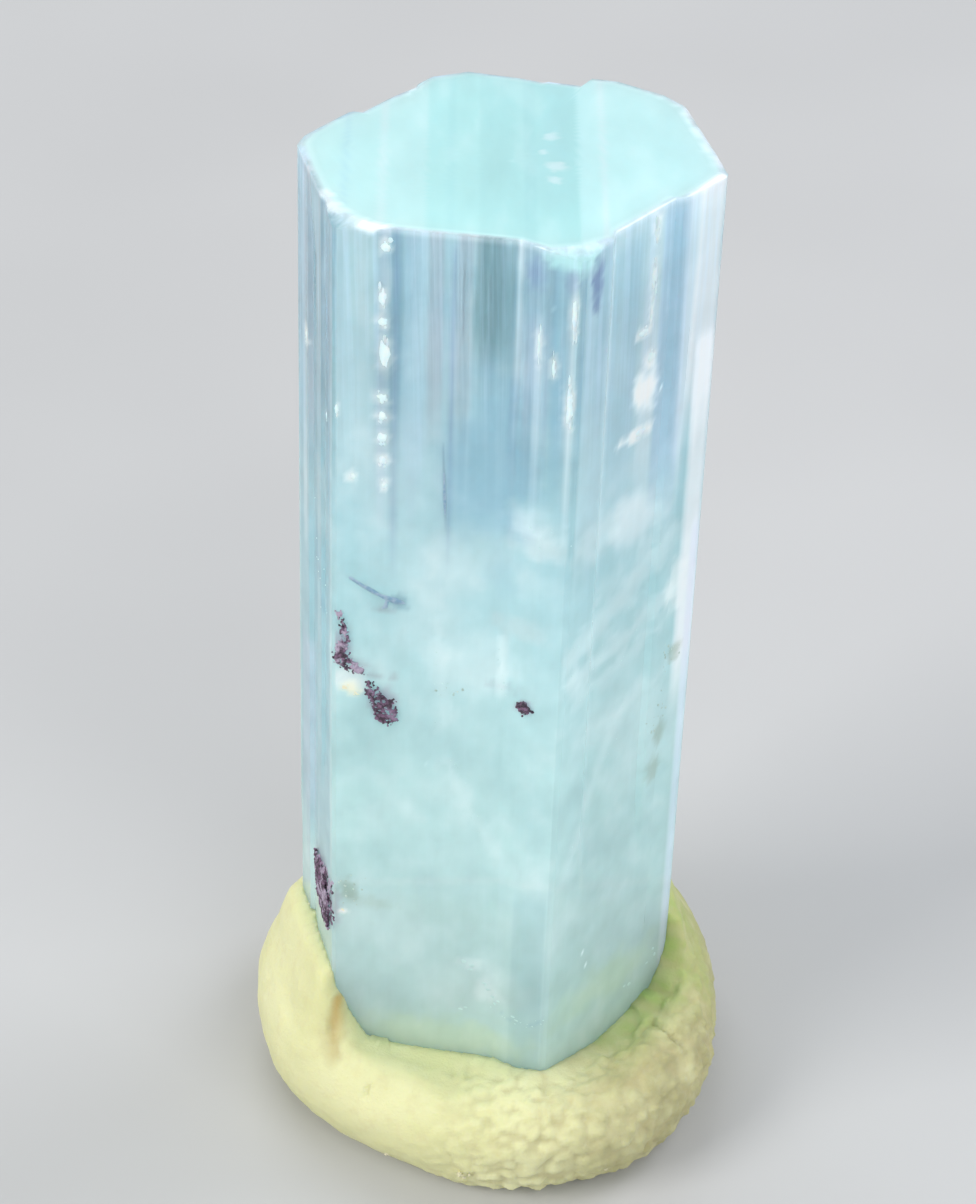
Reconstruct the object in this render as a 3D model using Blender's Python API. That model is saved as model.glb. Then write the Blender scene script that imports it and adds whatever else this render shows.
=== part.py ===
"""Aquamarine crystal standing in a lump of display putty. Metres, +Z up.

The origin is the middle of the putty's foot, on the surface that it stands on. -Y is the front. The crystal
is one hexagonal prism with growth ledges down its faces, a flat top with a chipped rim, and pockets that
hold small crusts of a dark mineral. It leans a little in the putty, whose lip is high at both sides and low
in front.
"""

import math

import bmesh
import bpy
from mathutils import Vector, noise

MM = 0.001

# --- Crystal ---------------------------------------------------------------------------------------------
# Face 0 is at the back left. The others follow every 60 degrees: left, front, right front, right back, back.
# Corner 0 comes after face 0. A face's first corner is the one before it.
PRISM_TURN = math.radians(135.9)  # outward direction of face 0, from +X towards +Y
PRISM_REACH = [8.80 * MM, 9.87 * MM, 7.50 * MM, 8.50 * MM, 10.00 * MM, 8.15 * MM]  # from axis to face
CORNER_CUT = [0.08 * MM, 0.10 * MM, 0.10 * MM, 0.06 * MM, 0.43 * MM, 0.55 * MM]  # small facet at each corner
CRYSTAL_FOOT = 1.2 * MM  # height of the crystal's broken foot, inside the putty
CRYSTAL_TOP = 61.9 * MM
AXIS_AT_FLOOR = Vector((-0.54 * MM, -0.16 * MM, 0.0))
LEAN = Vector((math.tan(math.radians(1.60)), math.tan(math.radians(0.26)), 1.0))  # per unit of height

# Growth ledges, in millimetres: face; start and end, from its first corner; depth, less than 0 where it
# stands proud; width of its first and last side, where that depth builds up; lowest and highest height.
LEDGES = [
    (5, 0.5, 5.1, -0.88, 2.90, 0.12, 16, 64),
    (5, 7.0, 8.4, 0.14, 0.08, 1.20, 18, 64),
    (0, 2.2, 3.9, 0.16, 0.08, 1.40, 30, 64),
    (0, 6.2, 10.8, -0.50, 0.30, 1.10, 18, 64),
    (1, 2.2, 4.0, 0.20, 0.08, 1.50, 10, 58),
    (1, 4.9, 6.5, 0.16, 0.08, 1.30, 26, 64),
    (2, 0.9, 1.8, 0.07, 0.08, 0.70, 40, 64),
    (2, 2.6, 10.9, 0.42, 6.40, 1.50, -4, 70),
    (3, 2.0, 7.2, 0.32, 0.50, 0.30, 24, 64),
    (3, 8.2, 9.4, 0.12, 0.08, 0.90, 14, 52),
    (4, 3.0, 6.2, 0.22, 0.08, 2.60, 10, 44),
]
LEDGE_FADE = 4.0  # a ledge dies out over this many millimetres of height at each end
LEVEL_GAP = 4.5 * MM  # height between two rings of the prism's wall
LONGEST_STRETCH = 2.6 * MM  # of one wall ring between two points

# The rim is a fine bevel. Chips widen it at some corners: corner, drop, width inwards, reach along the rim.
RIM_DROP = 0.06 * MM
RIM_WIDTH = 0.10 * MM
CHIPS = [
    (0, 0.10 * MM, 0.22 * MM, 3.2 * MM),
    (1, 0.45 * MM, 0.85 * MM, 2.1 * MM),
    (2, 0.45 * MM, 0.75 * MM, 2.3 * MM),
    (3, 0.16 * MM, 0.30 * MM, 2.4 * MM),
]

# --- Dark mineral crusts ---------------------------------------------------------------------------------
# Face, thickness as a share of width, and points down the crust in millimetres: distance from the face's
# first corner, height and half width. Each crust sits half sunk in a pocket of its face.
CRUST_GAP = 0.30 * MM
CRUST_SIDES = 10
CRUST_ROUGHNESS = 0.22
CRUST_TIP = 0.8  # length of each tip, as a share of the half width beside it
CRUSTS = {
    "dark_crust_upper": (2, 0.50, [
        (0.32, 37.9, 0.09), (0.60, 37.1, 0.12), (0.68, 36.3, 0.18), (0.50, 35.6, 0.33), (0.52, 34.8, 0.44),
        (1.05, 34.4, 0.31), (1.65, 34.1, 0.16)]),
    "dark_crust_middle": (2, 0.45, [
        (2.10, 33.5, 0.20), (2.30, 32.8, 0.42), (2.60, 32.1, 0.52), (2.90, 31.5, 0.62), (3.10, 31.1, 0.46)]),
    "dark_crust_speck": (2, 0.55, [
        (10.25, 33.30, 0.24), (10.50, 33.34, 0.36), (10.72, 33.30, 0.22)]),
    "dark_crust_corner": (1, 0.26, [
        (3.90, 17.6, 0.50), (4.80, 16.9, 1.25), (5.45, 15.9, 1.42), (5.95, 15.1, 0.95), (6.40, 14.4, 0.32)]),
}

# --- Putty -----------------------------------------------------------------------------------------------
PUTTY_RADIUS = 13.75 * MM  # at its widest
PUTTY_TUCK = 2.9 * MM  # how far its foot lies inside its widest ring
PUTTY_WIDEST_AT = 4.2 * MM  # height of the widest ring
POCKET_GAP = 0.30 * MM  # between the crystal and the putty around it
LIP_SIDES = 12.2 * MM  # height of the lip against the crystal, at its sides
LIP_FRONT = 6.8 * MM
LIP_BACK = 10.4 * MM
CROWN_SIDES = 9.4 * MM  # height that the lump would have there without its lip
CROWN_FRONT = 7.4 * MM
CROWN_BACK = 9.2 * MM
LIP_WIDTH = math.radians(42)  # part of the quarter turn from lip to widest ring that softens lip into crown
FRONT_DIP = [math.radians(turn) for turn in (211, 226, 346, 354)]  # lip falls, is low, still low, has risen
PUTTY_LUMP = 0.22 * MM  # height of its slow lumps
LUMP_DENSITY = 0.16 / MM
PUTTY_AROUND = 96
PUTTY_UPPER_RINGS = 9
PUTTY_LOWER_RINGS = 6

# Bulges where it was pinched: direction and half width in degrees, and how far it stands out, or up.
PUTTY_BULGES = [(240, 48, -1.20 * MM), (318, 40, 0.75 * MM), (5, 40, -0.25 * MM), (100, 50, -0.45 * MM)]
LIP_BULGES = [(320, 30, -0.85 * MM), (62, 34, -0.80 * MM), (118, 30, 0.55 * MM)]

FINISHES = {  # base colour, roughness, transmission, index of refraction
    "aquamarine": ((0.70, 0.91, 0.93, 1.0), 0.08, 0.85, 1.577),
    "dark_mineral": ((0.10, 0.055, 0.085, 1.0), 0.55, 0.0, 1.6),
    "putty": ((0.83, 0.79, 0.50, 1.0), 0.62, 0.0, 1.5),
}


def ramp(value, start, end):
    """0 before start, 1 after end, smooth between them."""
    share = min(max((value - start) / (end - start), 0.0), 1.0)
    return share * share * (3.0 - 2.0 * share)


def direction(turn):
    return Vector((math.cos(turn), math.sin(turn)))


def crossing(first, second):
    """The point where two facets, each a (turn, reach), meet."""
    (a, ra), (b, rb) = first, second
    spread = math.sin(b - a)
    return Vector((ra * math.sin(b) - rb * math.sin(a), rb * math.cos(a) - ra * math.cos(b))) / spread


def prism_face(number):
    number %= 6
    return PRISM_TURN + number * math.pi / 3, PRISM_REACH[number]


def prism_corner(number):
    """The sharp corner between prism face `number` and the next, before its edge is cut."""
    return crossing(prism_face(number), prism_face(number + 1))


def facets():
    """Every facet of the outline in order, as (turn, reach, prism face that it belongs to)."""
    found = []
    for number in range(6):
        turn, reach = prism_face(number)
        middle = turn + math.pi / 6
        corner = prism_corner(number)
        found.append((turn, reach, number))
        found.append((middle, corner.dot(direction(middle)) - CORNER_CUT[number], number))
    return found


def stretch_marks(length, offset, number):
    """Places along a facet that need a point: its ends, the turns of its ledges, and no long gap between."""
    marks = {0.0, length}
    for face, start, end, _, first_side, last_side, _, _ in LEDGES:
        if face == number:
            marks.update(turn * MM - offset for turn in (start, start + first_side, end - last_side, end))
    marks = sorted(mark for mark in marks if -1e-9 <= mark <= length + 1e-9)
    filled = [marks[0]]
    for mark in marks[1:]:
        first = filled[-1]
        pieces = max(1, math.ceil((mark - first) / LONGEST_STRETCH))
        filled += [first + (mark - first) * k / pieces for k in range(1, pieces + 1)]
    return filled[:-1]


def outline():
    """Points round the prism: place in plan, inward direction, face, and distance from its first corner."""
    around = facets()
    points = []
    for index, (turn, reach, number) in enumerate(around):
        start = crossing(around[index - 1][:2], (turn, reach))
        end = crossing((turn, reach), around[(index + 1) % len(around)][:2])
        along = direction(turn + math.pi / 2)
        face_along = direction(prism_face(number)[0] + math.pi / 2)
        offset = (start - prism_corner(number - 1)).dot(face_along)
        for mark in stretch_marks((end - start).length, offset, number):
            points.append((start + along * mark, -direction(turn), number, offset + mark))
    return points


def ledge_depth(number, distance, height):
    """How far the ledges of a prism face move it inwards at a place on it."""
    along, up = distance / MM, height / MM
    depth = 0.0
    for face, start, end, deepest, first_side, last_side, low, high in LEDGES:
        if face == number and start < along < end:
            share = min((along - start) / first_side, (end - along) / last_side, 1.0)
            reach = ramp(up, low - LEDGE_FADE, low) * (1.0 - ramp(up, high, high + LEDGE_FADE))
            depth += deepest * share * reach
    return depth * MM


def leaning(plan, height):
    """A point of the crystal in plan, moved along its leaning axis to that height."""
    return AXIS_AT_FLOOR + Vector((plan.x, plan.y, 0.0)) + LEAN * height


def chip_at(plan):
    """(drop, width) of the rim's chamfer near a point in plan."""
    drop, width = RIM_DROP, RIM_WIDTH
    for number, deep, wide, reach in CHIPS:
        share = 1.0 - ramp((plan - prism_corner(number)).length, 0.0, reach)
        drop = max(drop, deep * share)
        width = max(width, wide * share)
    return drop, width


def wall_heights():
    count = math.ceil((CRYSTAL_TOP - CRYSTAL_FOOT) / LEVEL_GAP)
    return [CRYSTAL_FOOT + (CRYSTAL_TOP - CRYSTAL_FOOT) * k / count for k in range(count)]


def skin(mesh, rings):
    """Joins rings of equal length into a closed body: a wall between each two, and a cap at each end."""
    for lower, upper in zip(rings, rings[1:]):
        count = len(lower)
        for k in range(count):
            mesh.faces.new((lower[k], lower[(k + 1) % count], upper[(k + 1) % count], upper[k]))
    mesh.faces.new(list(reversed(rings[0])))
    mesh.faces.new(rings[-1])


def material(name):
    made = bpy.data.materials.get(name)
    if made is None:
        made = bpy.data.materials.new(name)
        made.use_nodes = True
        colour, roughness, transmission, refraction = FINISHES[name]
        shader = made.node_tree.nodes["Principled BSDF"]
        shader.inputs["Base Color"].default_value = colour
        shader.inputs["Roughness"].default_value = roughness
        shader.inputs["Metallic"].default_value = 0.0
        shader.inputs["IOR"].default_value = refraction
        shader.inputs["Transmission Weight"].default_value = transmission
    return made


def place(name, mesh, slot, smooth_below=None):
    """Turns a bmesh into a named object with its material."""
    bmesh.ops.triangulate(mesh, faces=mesh.faces[:])
    bmesh.ops.recalc_face_normals(mesh, faces=mesh.faces[:])
    data = bpy.data.meshes.new(name)
    mesh.to_mesh(data)
    mesh.free()
    data.materials.append(material(slot))
    if smooth_below is not None:
        data.shade_smooth()
        data.set_sharp_from_angle(angle=math.radians(smooth_below))
    made = bpy.data.objects.new(name, data)
    bpy.context.scene.collection.objects.link(made)
    return made


def build_crystal():
    """The prism's rings from its foot up, then the chipped rim and the flat top."""
    mesh = bmesh.new()
    points = outline()
    rings = []
    for height in wall_heights():
        rings.append([mesh.verts.new(leaning(plan + inward * ledge_depth(number, distance, height), height))
                      for plan, inward, number, distance in points])
    wall_top, cap = [], []
    for plan, inward, number, distance in points:
        edge = plan + inward * ledge_depth(number, distance, CRYSTAL_TOP)
        drop, width = chip_at(plan)
        towards_axis = -edge.normalized()
        wall_top.append(mesh.verts.new(leaning(edge, CRYSTAL_TOP - drop)))
        cap.append(mesh.verts.new(leaning(edge + towards_axis * width, CRYSTAL_TOP)))
    skin(mesh, [*rings, wall_top, cap])
    return place("aquamarine_crystal", mesh, "aquamarine")


def crust_rings(face, flatness, path, grow):
    """A lumpy flattened strand half sunk in a prism face: its first tip, its rings and its last tip."""
    turn, _ = prism_face(face)
    corner = prism_corner(face - 1)
    along, outward = direction(turn + math.pi / 2), direction(turn)
    centres = [leaning(corner + along * (a * MM), height * MM) for a, height, _ in path]
    normal = Vector((outward.x, outward.y, 0.0))
    rings = []
    for k, (centre, (_, _, half_width)) in enumerate(zip(centres, path)):
        ahead = centres[min(k + 1, len(centres) - 1)] - centres[max(k - 1, 0)]
        side = normal.cross(ahead.normalized())
        ring = []
        for j in range(CRUST_SIDES):
            angle = 2 * math.pi * j / CRUST_SIDES
            spread = side * math.cos(angle) + normal * (math.sin(angle) * flatness)
            lump = 1.0 + CRUST_ROUGHNESS * noise.noise(Vector((face + k * 1.7, j * 1.3, path[0][1])))
            ring.append(centre + spread * (half_width * MM * lump) + spread.normalized() * grow)
        rings.append(ring)
    first = centres[0] + (centres[0] - centres[1]).normalized() * (path[0][2] * MM * CRUST_TIP + grow)
    last = centres[-1] + (centres[-1] - centres[-2]).normalized() * (path[-1][2] * MM * CRUST_TIP + grow)
    return first, rings, last


def crust_body(face, flatness, path, grow=0.0):
    first, rings, last = crust_rings(face, flatness, path, grow)
    mesh = bmesh.new()
    loops = [[mesh.verts.new(spot) for spot in ring] for ring in rings]
    start, end = mesh.verts.new(first), mesh.verts.new(last)
    for lower, upper in zip(loops, loops[1:]):
        for j in range(CRUST_SIDES):
            mesh.faces.new((lower[j], lower[(j + 1) % CRUST_SIDES], upper[(j + 1) % CRUST_SIDES], upper[j]))
    for j in range(CRUST_SIDES):
        mesh.faces.new((start, loops[0][(j + 1) % CRUST_SIDES], loops[0][j]))
        mesh.faces.new((end, loops[-1][j], loops[-1][(j + 1) % CRUST_SIDES]))
    return mesh


def build_crusts(crystal):
    """Each crust, and the pocket that it sits in, cut into the crystal a little larger."""
    for name, (face, flatness, path) in CRUSTS.items():
        place(name, crust_body(face, flatness, path), "dark_mineral", smooth_below=50)
        cutter = place(name + "_pocket", crust_body(face, flatness, path, CRUST_GAP), "dark_mineral")
        cutter.hide_render = True
        cutter.display_type = "WIRE"
        cut = crystal.modifiers.new(name + "_pocket", "BOOLEAN")
        cut.operation = "DIFFERENCE"
        cut.solver = "EXACT"
        cut.object = cutter


def bulge(turn, bulges):
    """What a list of bulges adds in one direction."""
    total = 0.0
    for middle, half_width, size in bulges:
        away = abs((math.degrees(turn) - middle + 180.0) % 360.0 - 180.0)
        if away < half_width:
            total += size * (1.0 + math.cos(math.pi * away / half_width)) / 2.0
    return total


def lip_height(turn):
    """Height at which the putty meets the crystal, by direction from +X: high at the sides, low in front."""
    fall, low, still_low, risen = FRONT_DIP
    dip = ramp(turn, fall, low) * (1.0 - ramp(turn, still_low, risen))
    back = max(0.0, math.sin(turn)) ** 2
    sides = LIP_SIDES + (LIP_BACK - LIP_SIDES) * back
    return sides + (LIP_FRONT - sides) * dip + bulge(turn, LIP_BULGES)


def crown_height(turn):
    """Height of the lump itself in one direction. It follows the lip, but more softly."""
    front = max(0.0, -math.sin(turn - math.radians(10))) ** 1.2
    back = max(0.0, math.sin(turn)) ** 2
    return CROWN_SIDES + (CROWN_BACK - CROWN_SIDES) * back + (CROWN_FRONT - CROWN_SIDES) * front


def pocket_edge(turn):
    """Where a ray from the axis leaves the crystal's outline, in plan, with the gap added."""
    ray = direction(turn)
    hits = [(ray.dot(direction(facet)), limit) for facet, limit, _ in facets()]
    reach = min(limit / facing for facing, limit in hits if facing > 0.2)
    return ray * (reach + POCKET_GAP / math.cos(math.radians(30)))


def putty_turns():
    """Directions of the putty's points: evenly spread, with one on every corner of the crystal's outline."""
    around = facets()
    corners = []
    for index, facet in enumerate(around):
        corner = crossing(around[index - 1][:2], facet[:2])
        corners.append(math.atan2(corner.y, corner.x) % (2 * math.pi))
    step = 2 * math.pi / PUTTY_AROUND
    even = [k * step for k in range(PUTTY_AROUND)]
    spaced = [turn for turn in even if min(abs(turn - corner) for corner in corners) > 0.4 * step]
    return sorted(spaced + corners)


def lumpy(point):
    """A point of the putty's skin, pushed along its own direction from the middle of the lump."""
    swell = noise.noise(point * LUMP_DENSITY)
    level = ramp(point.z, 0.0, PUTTY_WIDEST_AT)
    outward = Vector((point.x, point.y, 0.0)).normalized()
    return point + outward * (PUTTY_LUMP * swell * level)


def build_putty():
    """Rings from the pocket's floor up to the lip, over the crown, round the widest and in to the foot."""
    mesh = bmesh.new()
    turns = putty_turns()
    edges = [pocket_edge(turn) for turn in turns]
    widest = [direction(turn) * (PUTTY_RADIUS + bulge(turn, PUTTY_BULGES)) for turn in turns]
    lip = [leaning(edge, lip_height(turn)) for edge, turn in zip(edges, turns)]
    rings = [[leaning(edge, CRYSTAL_FOOT - POCKET_GAP) for edge in edges], lip]
    for k in range(1, PUTTY_UPPER_RINGS + 1):
        bend = math.pi / 2 * k / PUTTY_UPPER_RINGS
        softness = ramp(bend, 0.0, LIP_WIDTH)
        ring = []
        for turn, inner, outer in zip(turns, lip, widest):
            top = inner.z * (1.0 - softness) + crown_height(turn) * softness
            height = PUTTY_WIDEST_AT + (top - PUTTY_WIDEST_AT) * math.cos(bend)
            plan = inner.to_2d().lerp(outer, math.sin(bend))
            ring.append(lumpy(Vector((plan.x, plan.y, height))))
        rings.append(ring)
    for k in range(1, PUTTY_LOWER_RINGS + 1):
        bend = math.pi / 2 * k / PUTTY_LOWER_RINGS
        height = PUTTY_WIDEST_AT * (1.0 - math.sin(bend))
        inset = PUTTY_TUCK * (1.0 - math.cos(bend))
        plans = [outer - outer.normalized() * inset for outer in widest]
        rings.append([lumpy(Vector((plan.x, plan.y, height))) for plan in plans])
    skin(mesh, [[mesh.verts.new(point) for point in ring] for ring in rings])
    return place("putty_base", mesh, "putty", smooth_below=60)


def clear_scene():
    for old in list(bpy.data.objects):
        bpy.data.objects.remove(old)


clear_scene()
crystal_object = build_crystal()
build_crusts(crystal_object)
build_putty()
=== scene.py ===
"""Looks of an aquamarine crystal in its putty base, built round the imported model. Metres, +Z up, front at -Y."""

import math
import random

import bmesh
import bpy
import numpy as np
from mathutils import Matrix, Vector, noise
from mathutils.bvhtree import BVHTree


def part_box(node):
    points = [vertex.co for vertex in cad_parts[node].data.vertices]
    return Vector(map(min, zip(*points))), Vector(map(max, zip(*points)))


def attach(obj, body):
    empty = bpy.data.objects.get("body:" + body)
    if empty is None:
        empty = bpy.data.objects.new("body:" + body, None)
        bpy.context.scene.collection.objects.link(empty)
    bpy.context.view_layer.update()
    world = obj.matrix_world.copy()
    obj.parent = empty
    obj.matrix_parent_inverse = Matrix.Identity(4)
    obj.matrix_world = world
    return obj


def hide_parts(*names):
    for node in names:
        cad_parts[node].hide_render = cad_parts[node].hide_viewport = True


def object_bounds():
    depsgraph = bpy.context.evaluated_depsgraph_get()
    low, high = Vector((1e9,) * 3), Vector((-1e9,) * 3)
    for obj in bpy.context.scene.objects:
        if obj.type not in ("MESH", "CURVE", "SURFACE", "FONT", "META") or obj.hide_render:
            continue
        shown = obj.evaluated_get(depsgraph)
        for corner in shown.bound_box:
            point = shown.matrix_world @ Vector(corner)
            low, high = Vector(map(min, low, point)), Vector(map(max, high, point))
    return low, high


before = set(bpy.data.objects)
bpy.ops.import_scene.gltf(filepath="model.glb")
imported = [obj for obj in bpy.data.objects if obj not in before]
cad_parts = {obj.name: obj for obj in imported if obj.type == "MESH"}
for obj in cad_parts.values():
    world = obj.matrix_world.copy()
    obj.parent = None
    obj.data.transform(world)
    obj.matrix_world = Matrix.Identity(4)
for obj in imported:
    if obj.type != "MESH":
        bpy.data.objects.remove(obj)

CAD_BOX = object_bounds()
MM = 0.001

# --- The crystal's frame ----------------------------------------------------------------------------------
# Faces and corners are numbered as in the solid model: back left, left, front, right front, right back, back.
AXIS_AT_FLOOR = Vector((-0.54 * MM, -0.16 * MM, 0.0))
LEAN = Vector((math.tan(math.radians(1.60)), math.tan(math.radians(0.26)), 1.0))
PRISM_TURN = math.radians(135.9)
PRISM_REACH = [8.80, 9.87, 7.50, 8.50, 10.00, 8.15]  # millimetres from the axis
BACK_LEFT, LEFT, FRONT, RIGHT_FRONT, RIGHT_BACK, BACK = range(6)
CRUSTS = ("dark_crust_upper", "dark_crust_middle", "dark_crust_speck", "dark_crust_corner")

# --- Crystal skin -----------------------------------------------------------------------------------------
COLUMN_GAP = 0.17 * MM  # between two columns of the wall
LEVEL_GAP = 0.30 * MM
RIM_LEVELS = [0.80, 0.60, 0.45, 0.33, 0.24, 0.16, 0.10, 0.055, 0.015]  # millimetres below the top
TOP_RINGS = [1 - k / 34 for k in range(1, 34)]  # size of each ring
POCKET_MARGIN = 0.50 * MM  # round each crust, where the wall is drawn straight across its pocket
STRIATIONS = [(0.35, 0.016, 0.020), (1.10, 0.030, 0.009), (2.90, 0.070, 0.0035)]  # per mm across, up; height mm
STRIATION_BY_FACE = [1.2, 1.5, 0.8, 1.0, 1.3, 1.2]
LOW_STREAKS = 0.10  # how much of the streaking is left low on the crystal
TOP_RELIEF = 0.008 * MM
SHARP_ANGLE = math.radians(24)
PIT_COUNT = 70


def ramp(value, start, end):
    """0 before start, 1 after end, smooth between them. Start may be the larger one."""
    share = min(max((value - start) / (end - start), 0.0), 1.0)
    return share * share * (3.0 - 2.0 * share)


def direction(turn):
    return Vector((math.cos(turn), math.sin(turn), 0.0))


def face_turn(face):
    return PRISM_TURN + face * math.pi / 3


def first_corner(face):
    """Where a prism face starts, in plan about the axis."""
    a, b = face_turn(face - 1), face_turn(face)
    ra, rb = PRISM_REACH[(face - 1) % 6] * MM, PRISM_REACH[face % 6] * MM
    spread = math.sin(b - a)
    return Vector((ra * math.sin(b) - rb * math.sin(a), rb * math.cos(a) - ra * math.cos(b), 0.0)) / spread


def face_length(face):
    return (first_corner(face + 1) - first_corner(face)).length / MM


def axis_at(height):
    return AXIS_AT_FLOOR + LEAN * height


def add_object(name, data, body="root"):
    made = bpy.data.objects.new(name, data)
    bpy.context.scene.collection.objects.link(made)
    if body:
        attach(made, body)
    return made


def distance_to_line(spot, line):
    """Shortest distance from a spot to a bent line."""
    best = 1e6
    for a, b in zip(line, line[1:]):
        span = b - a
        share = min(max((spot - a).dot(span) / span.length_squared, 0.0), 1.0)
        best = min(best, (spot - a - span * share).length)
    return best


def mesh_from(name, verts, faces):
    data = bpy.data.meshes.new(name)
    data.from_pydata([tuple(v) for v in verts], [], faces)
    data.validate()
    return data


def tree_of(obj):
    """A ray and distance lookup for an object whose vertices are already in the row frame."""
    return BVHTree.FromPolygons([v.co.copy() for v in obj.data.vertices], [p.vertices[:] for p in obj.data.polygons])


# --- Node helpers -----------------------------------------------------------------------------------------
class Paint:
    """One material's node tree, with its Principled shader."""

    def __init__(self, name, **values):
        self.material = bpy.data.materials.new(name)
        self.material.use_nodes = True
        self.tree = self.material.node_tree
        self.shader = self.tree.nodes["Principled BSDF"]
        self.place = self.add("ShaderNodeTexCoord").outputs["Object"]
        self.set(**values)

    def set(self, **values):
        """Sets sockets of the shader. A socket's name is written with _ for each space."""
        for name, value in values.items():
            socket = self.shader.inputs[name.replace("_", " ")]
            if isinstance(value, bpy.types.NodeSocket):
                self.tree.links.new(value, socket)
            else:
                socket.default_value = value

    def add(self, kind, sockets=None, **settings):
        made = self.tree.nodes.new(kind)
        for name, value in settings.items():
            setattr(made, name, value)
        for name, value in (sockets or {}).items():
            if isinstance(value, bpy.types.NodeSocket):
                self.tree.links.new(value, made.inputs[name])
            else:
                made.inputs[name].default_value = value
        return made

    def stretched(self, across, up):
        """Object coordinates scaled per millimetre, so that noise can run in long vertical streaks."""
        scale = (across / MM, across / MM, up / MM)
        return self.add("ShaderNodeMapping", {"Vector": self.place, "Scale": scale}).outputs["Vector"]

    def noise(self, across, up=None, detail=3.0, rough=0.5, warp=0.0):
        where = self.stretched(across, across if up is None else up)
        sockets = {"Vector": where, "Scale": 1.0, "Detail": detail, "Roughness": rough, "Distortion": warp}
        return self.add("ShaderNodeTexNoise", sockets).outputs["Fac"]

    def remap(self, value, low, high, to_low=0.0, to_high=1.0):
        sockets = {"Value": value, "From Min": low, "From Max": high, "To Min": to_low, "To Max": to_high}
        return self.add("ShaderNodeMapRange", sockets, interpolation_type="SMOOTHSTEP").outputs["Result"]

    def maths(self, operation, first, second, clamp=False):
        made = self.add("ShaderNodeMath", operation=operation, use_clamp=clamp)
        for socket, value in zip(made.inputs, (first, second)):
            if isinstance(value, bpy.types.NodeSocket):
                self.tree.links.new(value, socket)
            else:
                socket.default_value = value
        return made.outputs["Value"]

    def mix(self, share, first, second, blend="MIX"):
        made = self.add("ShaderNodeMix", data_type="RGBA", blend_type=blend, clamp_factor=True)
        for socket, value in zip((made.inputs[0], made.inputs[6], made.inputs[7]), (share, first, second)):
            if isinstance(value, bpy.types.NodeSocket):
                self.tree.links.new(value, socket)
            else:
                socket.default_value = value if isinstance(value, float) else (*value, 1.0)
        return made.outputs[2]

    def attribute(self, name):
        return self.add("ShaderNodeAttribute", attribute_name=name)

    def bump(self, height, strength, distance):
        sockets = {"Height": height, "Strength": strength, "Distance": distance}
        return self.add("ShaderNodeBump", sockets).outputs["Normal"]


# --- Crystal skin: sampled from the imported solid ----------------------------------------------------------
def column_turns(solid):
    """Directions of the wall's columns: every corner of the solid's foot, and an even fill between them."""
    low = min(v.co.z for v in solid.data.vertices)
    around = set()
    for v in solid.data.vertices:
        if v.co.z < low + 0.01 * MM:
            spot = v.co - axis_at(v.co.z)
            around.add(round(math.atan2(spot.y, spot.x) % (2 * math.pi), 6))
    corners = sorted(around)
    mean_reach = sum(PRISM_REACH) / 6 * MM
    turns = []
    for start, end in zip(corners, corners[1:] + [corners[0] + 2 * math.pi]):
        pieces = max(1, round((end - start) * mean_reach / COLUMN_GAP))
        turns += [start + (end - start) * k / pieces for k in range(pieces)]
    return turns


def wall_levels(low, high):
    count = round((high - low) / LEVEL_GAP)
    even = [low + (high - low) * k / count for k in range(count)]
    rim = [high - gap * MM for gap in RIM_LEVELS]
    return [level for level in even if level < rim[0] - 0.2 * MM] + rim


def in_pocket(spot, boxes):
    return any(all(lo[i] - POCKET_MARGIN < spot[i] < hi[i] + POCKET_MARGIN for i in range(3)) for lo, hi in boxes)


def wall_reach(solid, turns, levels):
    """How far the solid's wall is from the axis, by level and column, with the crusts' pockets filled in."""
    tree = tree_of(solid)
    boxes = [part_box(name) for name in CRUSTS]
    reach = np.zeros((len(levels), len(turns)))
    pocket = np.zeros(reach.shape, bool)
    for j, level in enumerate(levels):
        middle = axis_at(level)
        for k, turn in enumerate(turns):
            hit = tree.ray_cast(middle, direction(turn))[0]
            reach[j, k] = (hit - middle).length
            pocket[j, k] = in_pocket(hit, boxes)
    rows = np.arange(len(levels))
    for k in np.flatnonzero(pocket.any(axis=0)):
        solid_rows = ~pocket[:, k]
        reach[:, k] = np.interp(rows, rows[solid_rows], reach[solid_rows, k])
    return reach


def face_of(turn):
    """The prism face that a direction from the axis points to, and how far along it, in millimetres."""
    ray = direction(turn)
    facing = [(PRISM_REACH[face] / max(ray.dot(direction(face_turn(face))), 1e-6), face) for face in range(6)]
    reach, face = min(facing)
    along = direction(face_turn(face) + math.pi / 2)
    return face, (ray * reach * MM - first_corner(face)).dot(along) / MM


def striation(face, along, height):
    """Depth of the fine growth lines that run up each face, in metres, inwards."""
    depth = 0.0
    for number, (across, up, size) in enumerate(STRIATIONS):
        spot = Vector((along * across + face * 17.3, height / MM * up, number * 5.1 + face))
        depth += size * noise.noise(spot)
    return depth * STRIATION_BY_FACE[face] * MM


def etch_pits(rng):
    """Small shallow pits on the faces: face, distance along it, height, half width, half height, depth."""
    pits = []
    for _ in range(PIT_COUNT):
        face = rng.randrange(6)
        wide = rng.uniform(0.12, 0.34)
        pits.append((face, rng.uniform(0.4, face_length(face) - 0.4), rng.uniform(13, 60), wide,
                     wide * rng.uniform(1.2, 3.0), rng.uniform(0.010, 0.035)))
    return pits


def pit_depth(pits, face, along, up):
    depth = 0.0
    for where, middle, level, wide, tall, deep in pits:
        if where == face and abs(along - middle) < wide and abs(up - level) < tall:
            depth = max(depth, deep * (1 - abs(along - middle) / wide) * (1 - abs(up - level) / tall))
    return depth * MM


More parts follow.
